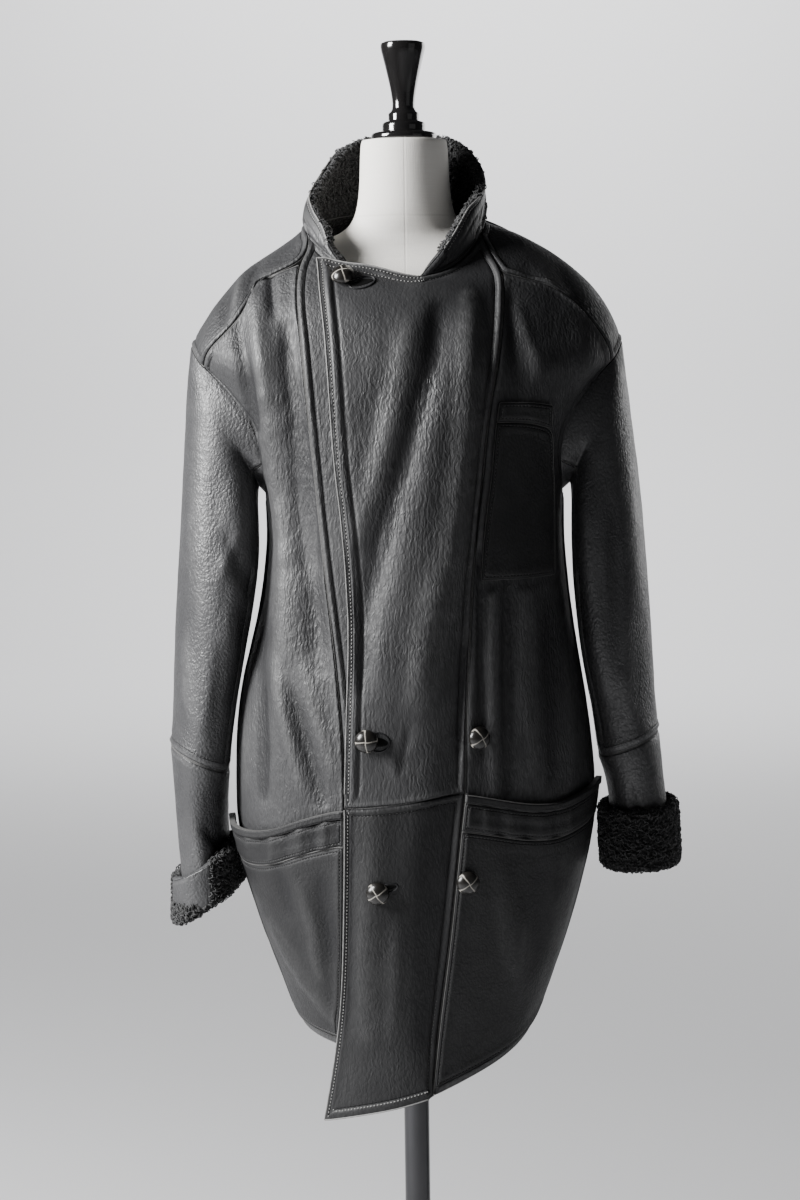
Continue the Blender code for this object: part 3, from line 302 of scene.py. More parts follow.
# ------------------------------------------------------------------------ back
# Two halves of black sheepskin with the wool inside, joined down the middle by
# a raised seam. All the coat's leather is this skin: drum dyed, softly milled,
# with a fine pebbled grain that has creased along its length in wear.

# What the leather's finish reads at each point, with its value off the leather: how far
# the rim and the stitches are, whether the rim is raw, how high a fold stands (its crests
# wear pale and its troughs get painted shade) and how lively the grain is.
far = 0.05
notes = {"seam_distance": far, "stitch_distance": far, "raw_edge": 0.0, "fold_height": 0.0,
         "grain_depth": 0.6}


def toned(colour, tone):
    return [c * tone for c in colour]


def black_skin(name, stretch, tone=1.0, gloss=0.0, shine=0.55):
    """Leather: a pebbled grain drawn out down the skin, needle lines, seams, rubbed edges and
    painted shade in its fold troughs.
    """
    skin = Finish(name, {"Specular IOR Level": shine})
    seam, sewing, raw, fold, lively = [skin.attribute(note) for note in notes]
    lay = skin.place()
    long_way = skin.node("ShaderNodeMapping", {}, {"Vector": skin.swayed(lay, 70.0, 0.009),
                                                   "Scale": (1.0, 1.0, stretch)})
    pebble = 1 - skin.cells(long_way, 300, 0.12)
    small = 1 - skin.cells(long_way, 640, 0.15)
    drag = skin.noise(skin.place((1.0, 1.0, 0.3)), 60, 3, 0.55)
    patch = skin.between(skin.noise(lay, 11, 3, 0.55), 0.34, 0.64)
    rubbed = skin.between(skin.noise(lay, 90, 4, 0.7), 0.38, 0.70)
    needle = 1 - skin.between(abs(sewing), 0.0003, 0.0012)
    rim_line = 1 - skin.between(seam, 0.0004, 0.0015)
    roll = 1 - skin.between(abs(seam - 0.0045), 0.0005, 0.0034)
    ridge = skin.between(fold, 0.2, 1.0)
    # The troughs of the folds are painted darker here: painted shade.
    painted_trough_shade = skin.between(0 - fold, 0.10, 1.0)
    dyed = skin.colour(skin.between(skin.noise(lay, 7.0, 5, 0.62), 0.30, 0.70),
                       toned((0.015, 0.015, 0.016), tone), toned((0.034, 0.034, 0.035), tone))
    worn = skin.colour(ridge * (0.20 + 0.25 * rubbed) + roll * (0.15 + 0.20 * rubbed),
                       dyed, toned((0.090, 0.090, 0.090), tone))
    edged = skin.colour(rim_line * raw * (0.45 + 0.55 * rubbed), worn, (0.220, 0.218, 0.212))
    sunk_rim = rim_line * (1 - raw)
    # Darker: the fold troughs as painted shade, the needle lines, the sunk seam lines and the grain
    # between pebbles.
    dark = painted_trough_shade * 0.75 + needle * 0.6 + sunk_rim * 0.7 + (1 - pebble) * 0.45 * lively
    grain = (0.75 * pebble + 0.30 * small) * (0.50 + 0.50 * patch)
    skin.feed(Base_Color=skin.colour(dark, edged, (0.006, 0.006, 0.007)),
              Roughness=(0.40 - gloss + 0.22 * (1 - pebble) * lively
                         + 0.12 * skin.noise(lay, 24, 2) - 0.04 * ridge),
              Normal=skin.bump((1.05 * grain + 0.25 * drag) * lively - 0.7 * needle
                               - 0.7 * sunk_rim, 0.001))
    return skin


def curly_wool(name, scale, depth, tone):
    """Wool seen as a close pile: curls in the bump, darker between them."""
    wool = Finish(name, {"Sheen Weight": 0.12, "Sheen Roughness": 0.6,
                         "Specular IOR Level": 0.2, "Roughness": 0.9})
    bend = wool.swayed(wool.place(), scale * 0.5, 0.006)
    curl = wool.cells(bend, scale, 0.3)
    strand = wool.noise(bend, scale * 3.2, 3, 0.6, 1.2)
    wool.feed(Base_Color=wool.colour(curl * 1.5 + 0.3 * strand, toned((0.050, 0.050, 0.051), tone),
                                     toned((0.006, 0.006, 0.006), tone)),
              Normal=wool.bump((1 - curl) + 0.4 * strand, depth, 0.9))
    return wool


leather = black_skin("black_sheepskin", stretch=0.27, tone=1.15)
wool_lining = curly_wool("clipped_wool", scale=230, depth=0.003, tone=0.55)
cut_edge = Finish("cut_edge", {"Roughness": 0.7})
cut_edge.feed(Base_Color=cut_edge.mottled(300, 3, (0.030, 0.030, 0.031), (0.120, 0.118, 0.114)),
              Normal=cut_edge.bump(cut_edge.noise(cut_edge.place(), 500, 3), 0.0006, 0.6))


def wall_parts(work, about_own_middle, turn):
    """Marks each face by where it is on the wall: 0 the outside, 1 the inside, 2 the edge.

    The outside is the wall that faces away from the pole, or from a tube's own middle.
    """
    work.faces.ensure_lookup_table()
    group = {}
    found = 0
    for seed in work.faces:
        if seed in group:
            continue
        group[seed] = found
        stack = [seed]
        while stack:
            for edge in stack.pop().edges:
                for face in edge.link_faces:
                    if face not in group and edge.calc_face_angle(0) < turn:
                        group[face] = found
                        stack.append(face)
        found += 1
    area, flux = {}, {}
    middle = sum((face.calc_center_median() for face in work.faces), Vector()) / len(work.faces)
    for face, label in group.items():
        centre = face.calc_center_median()
        away = centre - middle if about_own_middle else Vector((centre.x, centre.y, 0))
        area[label] = area.get(label, 0) + face.calc_area()
        flux[label] = flux.get(label, 0) + face.calc_area() * face.normal.dot(away.normalized())
    walls = sorted(area, key=area.get)[-2:]
    outside = max(walls, key=flux.get)
    for face, label in group.items():
        face.material_index = 0 if label == outside else 1 if label in walls else 2


def wall_arrays(mesh):
    """Points, four-sided faces, and each face's mark."""
    points = np.empty(len(mesh.vertices) * 3)
    mesh.vertices.foreach_get("co", points)
    corners = np.empty(len(mesh.loops), dtype=np.int32)
    mesh.loops.foreach_get("vertex_index", corners)
    marks = np.empty(len(mesh.polygons), dtype=np.int32)
    mesh.polygons.foreach_get("material_index", marks)
    return points.reshape(-1, 3), corners.reshape(-1, 4), marks


def way_out(points, quads):
    """The outward normal at each point of these faces."""
    a, b, c, d = (points[quads[:, corner]] for corner in range(4))
    crossed = np.cross(c - a, d - b)
    total = np.zeros_like(points)
    for corner in range(4):
        np.add.at(total, quads[:, corner], crossed)
    return total / np.maximum(np.linalg.norm(total, axis=1, keepdims=True), 1e-12)


def rim_edges(quads, marks):
    """The directed edges of the outside faces that no other outside face shares."""
    outer = quads[marks == 0]
    edges = np.concatenate([outer[:, [k, (k + 1) % 4]] for k in range(4)])
    own = {(a, b) for a, b in edges.tolist()}
    return [(a, b) for a, b in own if (b, a) not in own]


per_edge = 4    # points that the search tree below has for each edge


def rim_tree(points, rim):
    """A search tree over the rim: each edge's first point and three more along it."""
    tree = kdtree.KDTree(len(rim) * per_edge)
    for number, (a, b) in enumerate(rim):
        for step in range(per_edge):
            spot = points[a] + (points[b] - points[a]) * step / per_edge
            tree.insert(spot, number * per_edge + step)
    tree.balance()
    return tree


def line_relief(points, lines):
    """The height that soft ridges and troughs add at points.

    Each is given in millimetres: x and z where its run begins and where it ends, its
    height and its half width.
    """
    total = np.zeros(len(points))
    for x0, z0, x1, z1, height, width in np.array(lines) / 1000:
        start, run = np.array([x0, z0]), np.array([x1 - x0, z1 - z0])
        off = points[:, [0, 2]] - start
        share = np.clip(off @ run / (run @ run), 0, 1)
        gap = np.linalg.norm(off - share[:, None] * run, axis=1)
        swell = 0.35 + 0.65 * np.sin(np.pi * np.clip(share, 0.02, 0.98)) ** 0.5
        total += height * np.exp(-(gap / width) ** 2) * swell
    return total


# What a stretch of rim looks like, in millimetres: rows of a distance inside it, a half
# width and a height, then the distances at which it is stitched. Last, whether it is raw.
rims = {
    "joint": (((0, 1.4, -1.0),), (), False),
    "seam": (((0, 1.2, -1.4), (4.4, 2.6, 1.4), (9.2, 1.4, -1.0)), (9.2,), False),
    "edge": (((0, 1.1, 0.4), (5.0, 1.4, -0.6), (10.5, 3.0, 1.3), (16.5, 1.7, -1.2)), (5.0,), True),
    "skirt": (((0, 1.1, 0.4), (4.8, 1.4, -0.8)), (4.8,), True),
    "top": (((0, 1.0, 0.3), (3.4, 1.2, -0.5), (6.8, 2.0, 0.6), (10.2, 1.2, -0.5)),
            (3.4, 10.2), True),
    "hem": (((0, 1.0, 0.3), (6.0, 3.6, 1.0), (11.2, 1.4, -1.0)), (11.2,), True),
    "collar": (((0, 1.0, 0.4), (4.6, 1.4, -0.5), (14.5, 1.8, -0.9), (23.5, 1.8, -0.7)),
               (4.6,), True),
    "pocket": (((0, 1.2, -1.0), (3.8, 1.2, -0.7), (7.2, 2.8, 1.0)), (3.8,), False),
    "plain": ((), (), False)}


def collar_edge(spot):
    """The collar's free edge round the neck's opening, higher behind than in front."""
    return spot[2] > 1.4705 + (spot[1] + 0.085) * 0.44


def rim_kind(node, spot, way):
    """Which of them a place on a piece's rim is; the way is along the rim there.

    Of the two pieces at a seam the one named here as a seam has the raised, stitched
    roll, and the other one, a joint, ends under it.
    """
    x, _, z = spot
    upright = abs(way[2]) > math.hypot(way[0], way[1])
    if "welt" in node or "cuff" in node:
        return "plain"
    if "pocket" in node:
        return "pocket"
    if node == "collar":
        return "collar" if collar_edge(spot) else "seam"
    if z < 0.58 and not upright:
        return "hem"
    if node in ("front_left_middle", "front_left_skirt"):
        if x < -0.055 and abs(way[2]) > abs(way[0]):
            return "edge" if z > 0.85 else "skirt"
        if node == "front_left_middle" and z < 0.88 and not upright:
            return "joint"
        return "top" if z > 1.42 and x < 0.018 else "seam"
    if node == "front_right_middle":
        return "seam" if x < -0.07 else "plain"
    if node.startswith("front"):
        return "seam" if abs(x) > 0.15 and z < 1.36 else "joint"
    if node.startswith("back"):
        under_other = (abs(x) > 0.15 and z < 1.1) or (node == "back_right" and abs(x) < 0.02)
        return "joint" if under_other else "seam"
    if node.startswith("sleeve"):
        return "seam" if z < (1.10 if "top" in node else 0.92) else "joint"
    return "seam" if node.startswith("yoke") else "joint"


def seam_relief(seam, kinds):
    """The rolls and grooves beside the seams and along the free edges."""
    total = np.zeros(len(seam))
    for kind, (rows, _, _) in rims.items():
        chosen = kinds == kind
        for distance, width, height in np.array(rows) / 1000:
            total[chosen] += height * np.exp(-((seam[chosen] - distance) / width) ** 2)
    return total


def relief(points, normals, seam, size, lines, back_lines):
    """How far the leather stands out away from its seams: crumpled and folded by wear."""
    rumple = np.array([noise.noise(Vector((19 * x, 19 * y, 11 * z)))
                       + 0.5 * noise.noise(Vector((47 * x, 47 * y, 40 * z)))
                       for x, y, z in points])
    calm_beside_seam = 0.02
    total = rumple * size * (0.25 + 0.75 * np.clip(seam / calm_beside_seam, 0, 1))
    for rows, facing in ((lines, -normals[:, 1]), (back_lines, normals[:, 1])):
        if rows:
            total += line_relief(points, rows) * np.clip(facing * 2, 0, 1)
    return total


sewn = {}    # by node: the piece, its points and their normals, its rim and the rim's tree


def sewn_piece(node, levels, rumple, lines=(), back_lines=(), tube=False, finishes=None,
               covered=lambda x, z: False, lively=lambda x, z: 1.0, turn=50):
    """A leather wall on its node's form, rounded, with its folds raised and its seams marked.

    It stays down where another piece covers it, and its grain is as lively as it says.
    Its wall ends where its surface turns by more than some degrees.
    """
    work = merged_copy(node)
    wall_parts(work, tube, math.radians(turn))
    creased(work, math.radians(turn), 0.85)
    made = finished(node + "_sewn", work, *(finishes or (leather, wool_lining, cut_edge)))
    mesh = rounded(made, levels).data
    points, quads, marks = wall_arrays(mesh)
    normals = way_out(points, quads[marks == 0])
    on_skin = np.unique(quads[marks == 0])
    rim = rim_edges(quads, marks)
    tree = rim_tree(points, rim)
    edge_kinds = [rim_kind(node, points[a], points[b] - points[a]) for a, b in rim]
    nearest = [tree.find(points[k]) for k in on_skin]
    seam = np.array([min(far, gap) for _, _, gap in nearest])
    kinds = np.array([edge_kinds[number // per_edge] for _, number, _ in nearest])
    sewing = np.full(len(seam), far)
    raw = np.zeros(len(seam))
    for kind, (_, insets, worn_edge) in rims.items():
        chosen = kinds == kind
        raw[chosen] = worn_edge
        if insets:
            sewing[chosen] = seam[chosen] - insets[0] / 1000
    height = relief(points[on_skin], normals[on_skin], seam, rumple, lines, back_lines)
    hidden = np.array([covered(x, z) for x, _, z in points[on_skin]])
    lowest, highest, full_tone = -0.0058, 0.0085, 0.0026
    height = np.clip(np.where(hidden, np.minimum(height, 0), height), lowest, highest)
    # The folds' heights go to the finish, which wears the crests pale and paints shade into the
    # troughs.
    folds = np.clip(height / full_tone, -1, 1)
    height += seam_relief(seam, kinds)
    points[on_skin] += normals[on_skin] * height[:, None]
    mesh.vertices.foreach_set("co", points.ravel())
    alive = [lively(x, z) for x, _, z in points[on_skin]]
    for (note, off_skin), values in zip(notes.items(), (seam, sewing, raw, folds, alive)):
        whole = np.full(len(points), off_skin)
        whole[on_skin] = values
        attribute = mesh.attributes.new(note, "FLOAT", "POINT")
        attribute.data.foreach_set("value", whole.astype(np.float32))
    mesh.update()
    sewn[node] = (made, points, normals, rim, tree)
    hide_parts(node)
    return made


back_folds = [
    (10, 1300, -15, 1020, 2.2, 16), (85, 1220, 50, 980, 2, 14), (-90, 1240, -55, 960, 2.2, 15),
    (150, 1140, 105, 930, -2, 12), (-155, 1130, -120, 900, -2, 12), (60, 900, 85, 660, 2.4, 18),
    (-50, 920, -78, 640, 2.4, 18), (130, 840, 150, 640, -1.8, 12),
    (-130, 860, -150, 630, 1.8, 12), (0, 860, 12, 620, -1.6, 10)]

for side in ("left", "right"):
    half = sewn_piece("back_" + side, levels=2, rumple=0.0011, back_lines=back_folds)


# ----------------------------------------------------------------- side fronts
# The panels from the side seams to the long front seams, which run over the
# bust to the yokes. The skin drapes over the hip in long soft folds.

right_side_folds = [
    (-175, 1416, -163, 1302, 6, 11), (-163, 1302, -148, 1120, 7.5, 12),
    (-148, 1120, -146, 1010, 6, 13), (-138, 1381, -128, 1256, -7, 12),
    (-128, 1256, -117, 1120, -9.5, 15), (-117, 1120, -108, 1000, -6, 12),
    (-195, 1382, -176, 1267, -6.6, 9), (-159, 1452, -155, 1400, -4.6, 6),
    (-172, 1135, -178, 990, -5, 9), (-142, 965, -106, 838, -5.8, 7.5),
    (-124, 990, -91, 870, 3.4, 9), (-160, 995, -130, 845, 3.4, 9),
    (-174, 975, -178, 837, -4.6, 8), (-196, 980, -200, 830, 2.8, 10)]
bust_fold = [
    (72, 1410, 69, 1290, 7.4, 15), (69, 1290, 60, 1210, 8.8, 15), (60, 1210, 50, 1130, 8.6, 17)]
left_side_folds = bust_fold + [
    (80, 1125, 80, 890, -3.6, 6), (94, 1150, 95, 849, 4.4, 9), (110, 1130, 108, 849, -4.6, 8),
    (134, 1110, 140, 860, 3.4, 13), (160, 1060, 164, 860, -3.4, 10),
    (182, 1040, 188, 850, 2.4, 10), (128, 1400, 150, 1330, 2.6, 9),
    (118, 1420, 122, 1330, -2.2, 8)]


def under_pocket(x, z):
    """Where a pocket lies on a side front."""
    return z < 0.80 or (0.085 < x < 0.178 and 1.08 < z < 1.31)


side_right = sewn_piece("front_right_side", levels=3, rumple=0.0010, lines=right_side_folds,
                        covered=under_pocket)
side_left = sewn_piece("front_left_side", levels=3, rumple=0.0010, lines=left_side_folds,
                       covered=under_pocket)


# --------------------------------------------------------------- middle fronts
# The right middle lies under; the left one laps over it to the double row of
# buttons, with its edge left raw and stitched, and is seamed at the hip.

middle_folds = bust_fold + [
    (36, 1400, 31, 1350, -5, 12), (31, 1350, 12, 1288, -6, 14), (12, 1288, -7, 1220, -6.2, 16),
    (-7, 1220, -31, 1142, -6.2, 16), (-31, 1142, -53, 1052, -6, 14),
    (-53, 1052, -56, 975, -5, 11), (50, 1130, 26, 1050, 7.4, 20), (26, 1050, 6, 960, 5, 20),
    (4, 1385, -17, 1288, 3.6, 15), (-17, 1288, -36, 1220, 4.4, 16),
    (-36, 1220, -58, 1142, 4.4, 14), (62, 1020, 54, 900, -3, 9), (-34, 905, -14, 868, 1.8, 6),
    (-2, 930, -16, 872, -1.6, 5)]
skirt_folds = [
    (-45, 820, -58, 560, 4.4, 17), (26, 830, 12, 560, -4.2, 22), (-72, 820, -80, 570, -2.6, 8),
    (-20, 700, -28, 560, 2, 10)]


def chest_grain(x, z):
    """The lapping front's grain is calm under its top edge and below the hip."""
    top_edge, calm_depth = 1.405, 0.07
    if z <= 1.0:
        return 0.9
    return 0.40 + 0.60 * min(1.0, max(0.0, (top_edge - z) / calm_depth))


under = sewn_piece("front_right_middle", levels=3, rumple=0.0007)
over = sewn_piece("front_left_middle", levels=3, rumple=0.0009, lines=middle_folds,
                  lively=chest_grain, turn=32)
# The skirt below the hip seam takes a darker copy of the leather (tone 0.55): painted shade on the
# lower coat.
lower_skin_painted_shade = black_skin("lower_sheepskin_painted_shade", stretch=0.4, tone=0.55, gloss=-0.04, shine=0.38)
lower = sewn_piece("front_left_skirt", levels=3, rumple=0.0009, lines=skirt_folds,
                   lively=lambda x, z: 0.75, finishes=(lower_skin_painted_shade, wool_lining, cut_edge))


# ----------------------------------------------------------------------- yokes
# The shoulder pieces, each from the armhole's crown to the neck, laid over the
# shoulder without a seam on its top.

shoulder_folds = {
    "left": [
        (161, 1440, 200, 1350, 3, 8), (180, 1450, 216, 1380, -2.6, 8),
        (140, 1445, 165, 1370, -2.4, 8)],
    "right": [
        (-175, 1460, -190, 1417, -3.6, 7), (-208, 1437, -216, 1394, -3.6, 8),
        (-192, 1452, -204, 1405, 3, 7)]}

for side in ("left", "right"):
    yoke = sewn_piece("yoke_" + side, levels=3, rumple=0.0008, lines=shoulder_folds[side])


# --------------------------------------------------------------------- sleeves
# Each sleeve is a top and an under part, set into the armhole, and a forearm
# sewn on below the elbow. They hang empty, with soft dents at the elbow.

# The sleeves take a lighter copy of the leather (tone 1.6): painted light, as if they caught the
# main light more.
sleeve_skin_painted_lit = black_skin("sleeve_sheepskin_painted_lit", stretch=0.72, tone=1.6, gloss=0.07, shine=0.72)
sleeve_folds = {
    "right": [
        (-212, 1136, -186, 1066, -4.2, 8), (-196, 1150, -226, 1090, 2.4, 8),
        (-200, 1060, -192, 985, -3, 8), (-242, 1280, -252, 1040, 2.6, 15),
        (-272, 1040, -258, 920, 2.2, 11), (-225, 1010, -236, 910, -2.2, 10),
        (-249, 784, -226, 752, -4.6, 7), (-262, 800, -250, 700, 2.6, 10),
        (-236, 810, -206, 780, 2.4, 7), (-232, 752, -228, 690, -3.4, 9)],
    "left": [
        (262, 1240, 270, 1050, 2.4, 14), (236, 1170, 240, 980, -2.4, 10),
        (300, 1070, 286, 940, 2.2, 10), (262, 835, 270, 780, -2.4, 6),
        (250, 970, 262, 900, 2.2, 9)]}
for side in ("left", "right"):
    for part, levels, width, length, share in (
            ("sleeve_top_", 3, 0.26, 0.42, 0.84), ("sleeve_under_", 2, 0.22, 0.40, 0.80),
            ("forearm_", 3, 0.33, 0.16, 0.90)):
        sleeve = sewn_piece(part + side, levels, rumple=0.0010, lines=sleeve_folds[side],
                            back_lines=sleeve_folds[side], tube=True,
                            finishes=(sleeve_skin_painted_lit, wool_lining, cut_edge))


# ------------------------------------------------------------------------ cuffs
# The sleeve's end turned back with the wool outwards: the left one all wool,
# the right one still showing its leather band at the front. Curls stand on both.

wool = curly_wool("curly_wool", scale=260, depth=0.0035, tone=1.0)
# The right cuff's leather band takes the sleeves' lighter copy, with its painted light.
for side in ("left", "right"):
    cuff = sewn_piece("cuff_" + side, levels=2, rumple=0.0010, tube=True,
                      finishes=(wool, wool, wool, sleeve_skin_painted_lit))


def on_leather_band(spot):
    """The front of the right cuff, where the leather side of its turned edge shows."""
    x, y, z = spot
    return x < -0.246 and y < 0.030 and z > 0.688 + 0.10 * (x + 0.303)


inside, band = 1, 3    # marks of a cuff's faces
for face in sewn["cuff_right"][0].data.polygons:
    if face.material_index != inside and on_leather_band(face.center):
        face.material_index = band


# ----------------------------------------------------------------------- collar
# The standing collar, cut in one with the wool inside and opened at the front,
# so that its wool shows round the neck.

collar = sewn_piece("collar", levels=3, rumple=0.0008, finishes=(leather, wool, wool),
                    lively=lambda x, z: 0.6, turn=38)


# --------------------------------------------------------------------- pockets
# Patch pockets of thinner skin: two that cover the side fronts under the hip,
# each with a band and a bound mouth, and a smaller one on the left chest. Their
# skin is a darker copy of the leather: painted shade.

pocket_cuts = [("pocket_left", 0.24, 0.28, 0.90), ("pocket_right", 0.19, 0.235, 0.87),
               ("pocket_band_left", 0.23, 0.047, 0.90), ("pocket_band_right", 0.21, 0.047, 0.90),
               ("pocket_welt_left", 0.23, 0.018, 0.92), ("pocket_welt_right", 0.21, 0.018, 0.92),
               ("breast_pocket", 0.10, 0.20, 0.93), ("breast_pocket_band", 0.10, 0.026, 0.82)]
gathers = [(x + lean, 860, x - lean, 760, height, 4.2) for x, lean, height in (
    (-196, 2, 2), (-181, -1, -2), (-166, 2, 2.4), (-149, 1, -2.2), (-134, -2, 2.6),
    (-116, 1, -2.2), (-103, 2, 2.4), (-88, 0, -1.6), (84, 1, 1.8), (99, -1, -1.8), (113, 2, 2.2),
    (131, 0, -2), (149, 1, 2), (166, -2, -1.8), (184, 1, 1.8))]
bag_folds = [
    (-172, 679, -131, 614, 4.6, 9), (-131, 614, -92, 567, 4.4, 9),
    (-178, 640, -150, 590, -3.6, 9), (-140, 745, -120, 690, 3.4, 11),
    (-108, 745, -99, 650, -3.6, 11), (105, 745, 112, 640, 3.4, 13),
    (150, 740, 140, 620, -3.4, 13), (-163, 760, -146, 700, -3, 9),
    (-120, 690, -110, 610, 2.6, 10), (128, 700, 120, 600, 2.6, 13)]
# A darker copy of the leather (tone 0.52): painted shade on the pockets.
pocket_skin_painted_shade = black_skin("pocket_sheepskin_painted_shade", stretch=0.75, tone=0.52, gloss=-0.05,
                          shine=0.36)
for node, width, length, share in pocket_cuts:
    pocket = sewn_piece(node, levels=3, rumple=0.0002 if "welt" in node else 0.0014,
                        lines=gathers if "band_" in node else bag_folds,
                        finishes=(pocket_skin_painted_shade, wool_lining, cut_edge), lively=lambda x, z: 0.65)


# --------------------------------------------------------------------- buttons
# Five domed buttons, each woven of four leather straps that pass over and under
# one another, polished by use, with pale rubbed edges. Sewn on by a shank.

button_hide = Finish("woven_button_leather", {"Coat Weight": 0.15, "Coat Roughness": 0.15})
rubbed_line = button_hide.attribute("strap_edge")
pores = button_hide.noise(button_hide.place(), 900, 3)
button_hide.feed(Base_Color=button_hide.colour(rubbed_line, (0.009, 0.008, 0.007),
                                               (0.50, 0.47, 0.42)),
                 Roughness=0.30 + 0.25 * rubbed_line,
                 Normal=button_hide.bump(pores, 0.0003, 0.3))


def woven(u, v, radius):
    """Height and rubbed edge of four crossing straps at a place on the dome."""
    span, strap, rub = radius * 0.98, 0.56, 0.16
    best, second = -1.0, -1.0
    for along, across_by, side, start in ((u, v, 1, -1), (u, v, -1, 1),
                                          (v, u, 1, 1), (v, u, -1, -1)):
        off = (across_by - side * span * 0.5) / (span * strap)
        if abs(off) > 1:
            continue
        lift = 0.5 + 0.5 * math.sin(start * along / span * math.pi / 1.05)
        height = (1 - abs(off) ** 2.4) * 0.55 + 0.75 * lift
        if height > best:
            best, second = height, best
        elif height > second:
            second = height
    return max(best, 0), max(0.0, 1 - (best - second) / rub)


def button(name, turn):
    """A woven dome on its shank, in its node's place and facing as the node does."""
    radius, seat = 0.0135, 0.0036
    low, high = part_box(name)
    middle = (low + high) / 2
    points = np.array([v.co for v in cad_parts[name].data.vertices])
    spread = np.linalg.eigh(np.cov((points - points.mean(0)).T))
    axis = Vector(spread[1][:, 0])
    if axis.y > 0:
        axis.negate()
    along = [(Vector(p) - middle).dot(axis) for p in points]
    centre = middle + axis * (min(along) + seat)
    height = max(along) - min(along) - seat
    work = bmesh.new()
    bmesh.ops.create_uvsphere(work, u_segments=56, v_segments=40, radius=radius)
    edge_layer = work.verts.layers.float.new("strap_edge")
    for vert in work.verts:
        u, v, w = vert.co
        raised, rubbed = woven(u, v, radius)
        if w > 0:
            vert[edge_layer] = rubbed * min(1.0, w / 0.003)
            vert.co *= 1 + 0.055 * (raised - 0.7) * min(1.0, w / 0.004)
            vert.co.z *= (height - 0.001) / radius
        else:
            vert.co.z *= 0.17
    basis = axis.to_track_quat("Z", "Y").to_matrix().to_4x4()
    place = Matrix.Translation(centre) @ basis @ Matrix.Rotation(turn, 4, "Z")
    bmesh.ops.transform(work, matrix=place, verts=work.verts)
    shank = bmesh.ops.create_cone(work, cap_ends=True, segments=16,
                                  radius1=0.0038, radius2=0.0034, depth=0.0034)
    bmesh.ops.transform(work, matrix=Matrix.Translation(centre - axis * 0.0019) @ basis,
                        verts=shank["verts"])
    made = finished(name + "_woven", work, button_hide)
    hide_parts(name)


for name, turn in (("button_neck", 0.35), ("button_waist_right", 0.10), ("button_waist_left", 0.55),
                   ("button_hip_right", 0.58), ("button_hip_left", 0.62)):
    button(name, turn)


# ----------------------------------------------------------------------- sewing
# Every seam is topstitched in waxed black thread beside the raised edge of its
# piece, about four millimetres to the stitch. Along the free edges the thread
# is thicker and has worn pale.

thread = Finish("waxed_thread", {"Roughness": 0.45, "Specular IOR Level": 0.5})
thread.feed(Base_Color=thread.mottled(200, 2, (0.020, 0.020, 0.021), (0.060, 0.059, 0.058)))
pale_thread = Finish("worn_thread", {"Roughness": 0.6, "Specular IOR Level": 0.4})
pale_thread.feed(Base_Color=pale_thread.mottled(200, 2, (0.110, 0.109, 0.106),
                                                (0.290, 0.285, 0.277)))


def repeated(name, shape, places, finish):
    """One mesh of a small shape's copies, one at each place."""
    corners = np.array([vert.co for vert in shape.verts])
    index = {vert: k for k, vert in enumerate(shape.verts)}
    sides = np.array([[index[v] for v in face.verts] for face in shape.faces])
    frames = np.array(places)
    points = np.einsum("nij,kj->nki", frames[:, :3, :3], corners) + frames[:, None, :3, 3]
    faces = sides[None] + (np.arange(len(frames)) * len(corners))[:, None, None]
    mesh = bpy.data.meshes.new(name)
    mesh.from_pydata(points.reshape(-1, 3).tolist(), [],
                     faces.reshape(-1, sides.shape[1]).tolist())
    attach(shown(name, mesh, finish), "root")


def rim_runs(node):
    """Each closed run of a piece's rim: its points, their outward normals and the way on."""
    _, points, normals, rim, _ = sewn[node]
    after = dict(rim)
    while after:
        run = []
        at = next(iter(after))
        while at in after:
            run.append(at)
            at = after.pop(at)
        loop = points[run]
        ahead = np.roll(loop, -1, 0) - np.roll(loop, 1, 0)
        ahead /= np.maximum(np.linalg.norm(ahead, axis=1, keepdims=True), 1e-9)
        yield loop, normals[run], ahead


def stitch_places(node, wanted, pitch):
    """Places for stitches inside the rim, as the kind of each stretch says: pale ones or dark."""
    tree = sewn[node][4]
    longest_step, crowded = 0.02, 0.88
    places = []
    for loop, out, ahead in rim_runs(node):
        kinds = [rims[rim_kind(node, *pair)] for pair in zip(loop, ahead)]
        for row in (0, 1):
            depth = np.array([insets[row] if len(insets) > row and raw == wanted else 0
                              for _, insets, raw in kinds]) / 1000
            line = loop + np.cross(out, ahead) * depth[:, None]
            step = np.linalg.norm(np.roll(line, -1, 0) - line, axis=1)
            total = np.concatenate([[0], np.cumsum(step)])
            for distance in np.arange(0, total[-1], pitch):
                k = min(int(np.searchsorted(total, distance, side="right")) - 1, len(loop) - 1)
                share = (distance - total[k]) / max(step[k], 1e-9)
                after = (k + 1) % len(loop)
                spot = line[k] * (1 - share) + line[after] * share
                if not depth[k] or depth[k] != depth[after] or step[k] > longest_step:
                    continue
                if tree.find(spot)[2] < crowded * depth[k]:
                    continue
                up_way = Vector(out[k] * (1 - share) + out[after] * share)
                places.append((Vector(spot), Vector(ahead[k]), up_way.normalized()))
    return places


def laid_on(skin, spot, way, up_way):
    """The frame on the leather nearest to a spot, or nothing where it faces another way."""
    reach, least_facing = 0.004, 0.4
    hit, normal, _, gap = skin.find_nearest(spot)
    if hit is None or gap > reach or normal.dot(up_way) < least_facing:
        return None
    side_way = normal.cross(way).normalized()
    axes = Matrix((side_way.cross(normal), side_way, normal)).transposed()
    return Matrix.Translation(hit) @ axes.to_4x4()


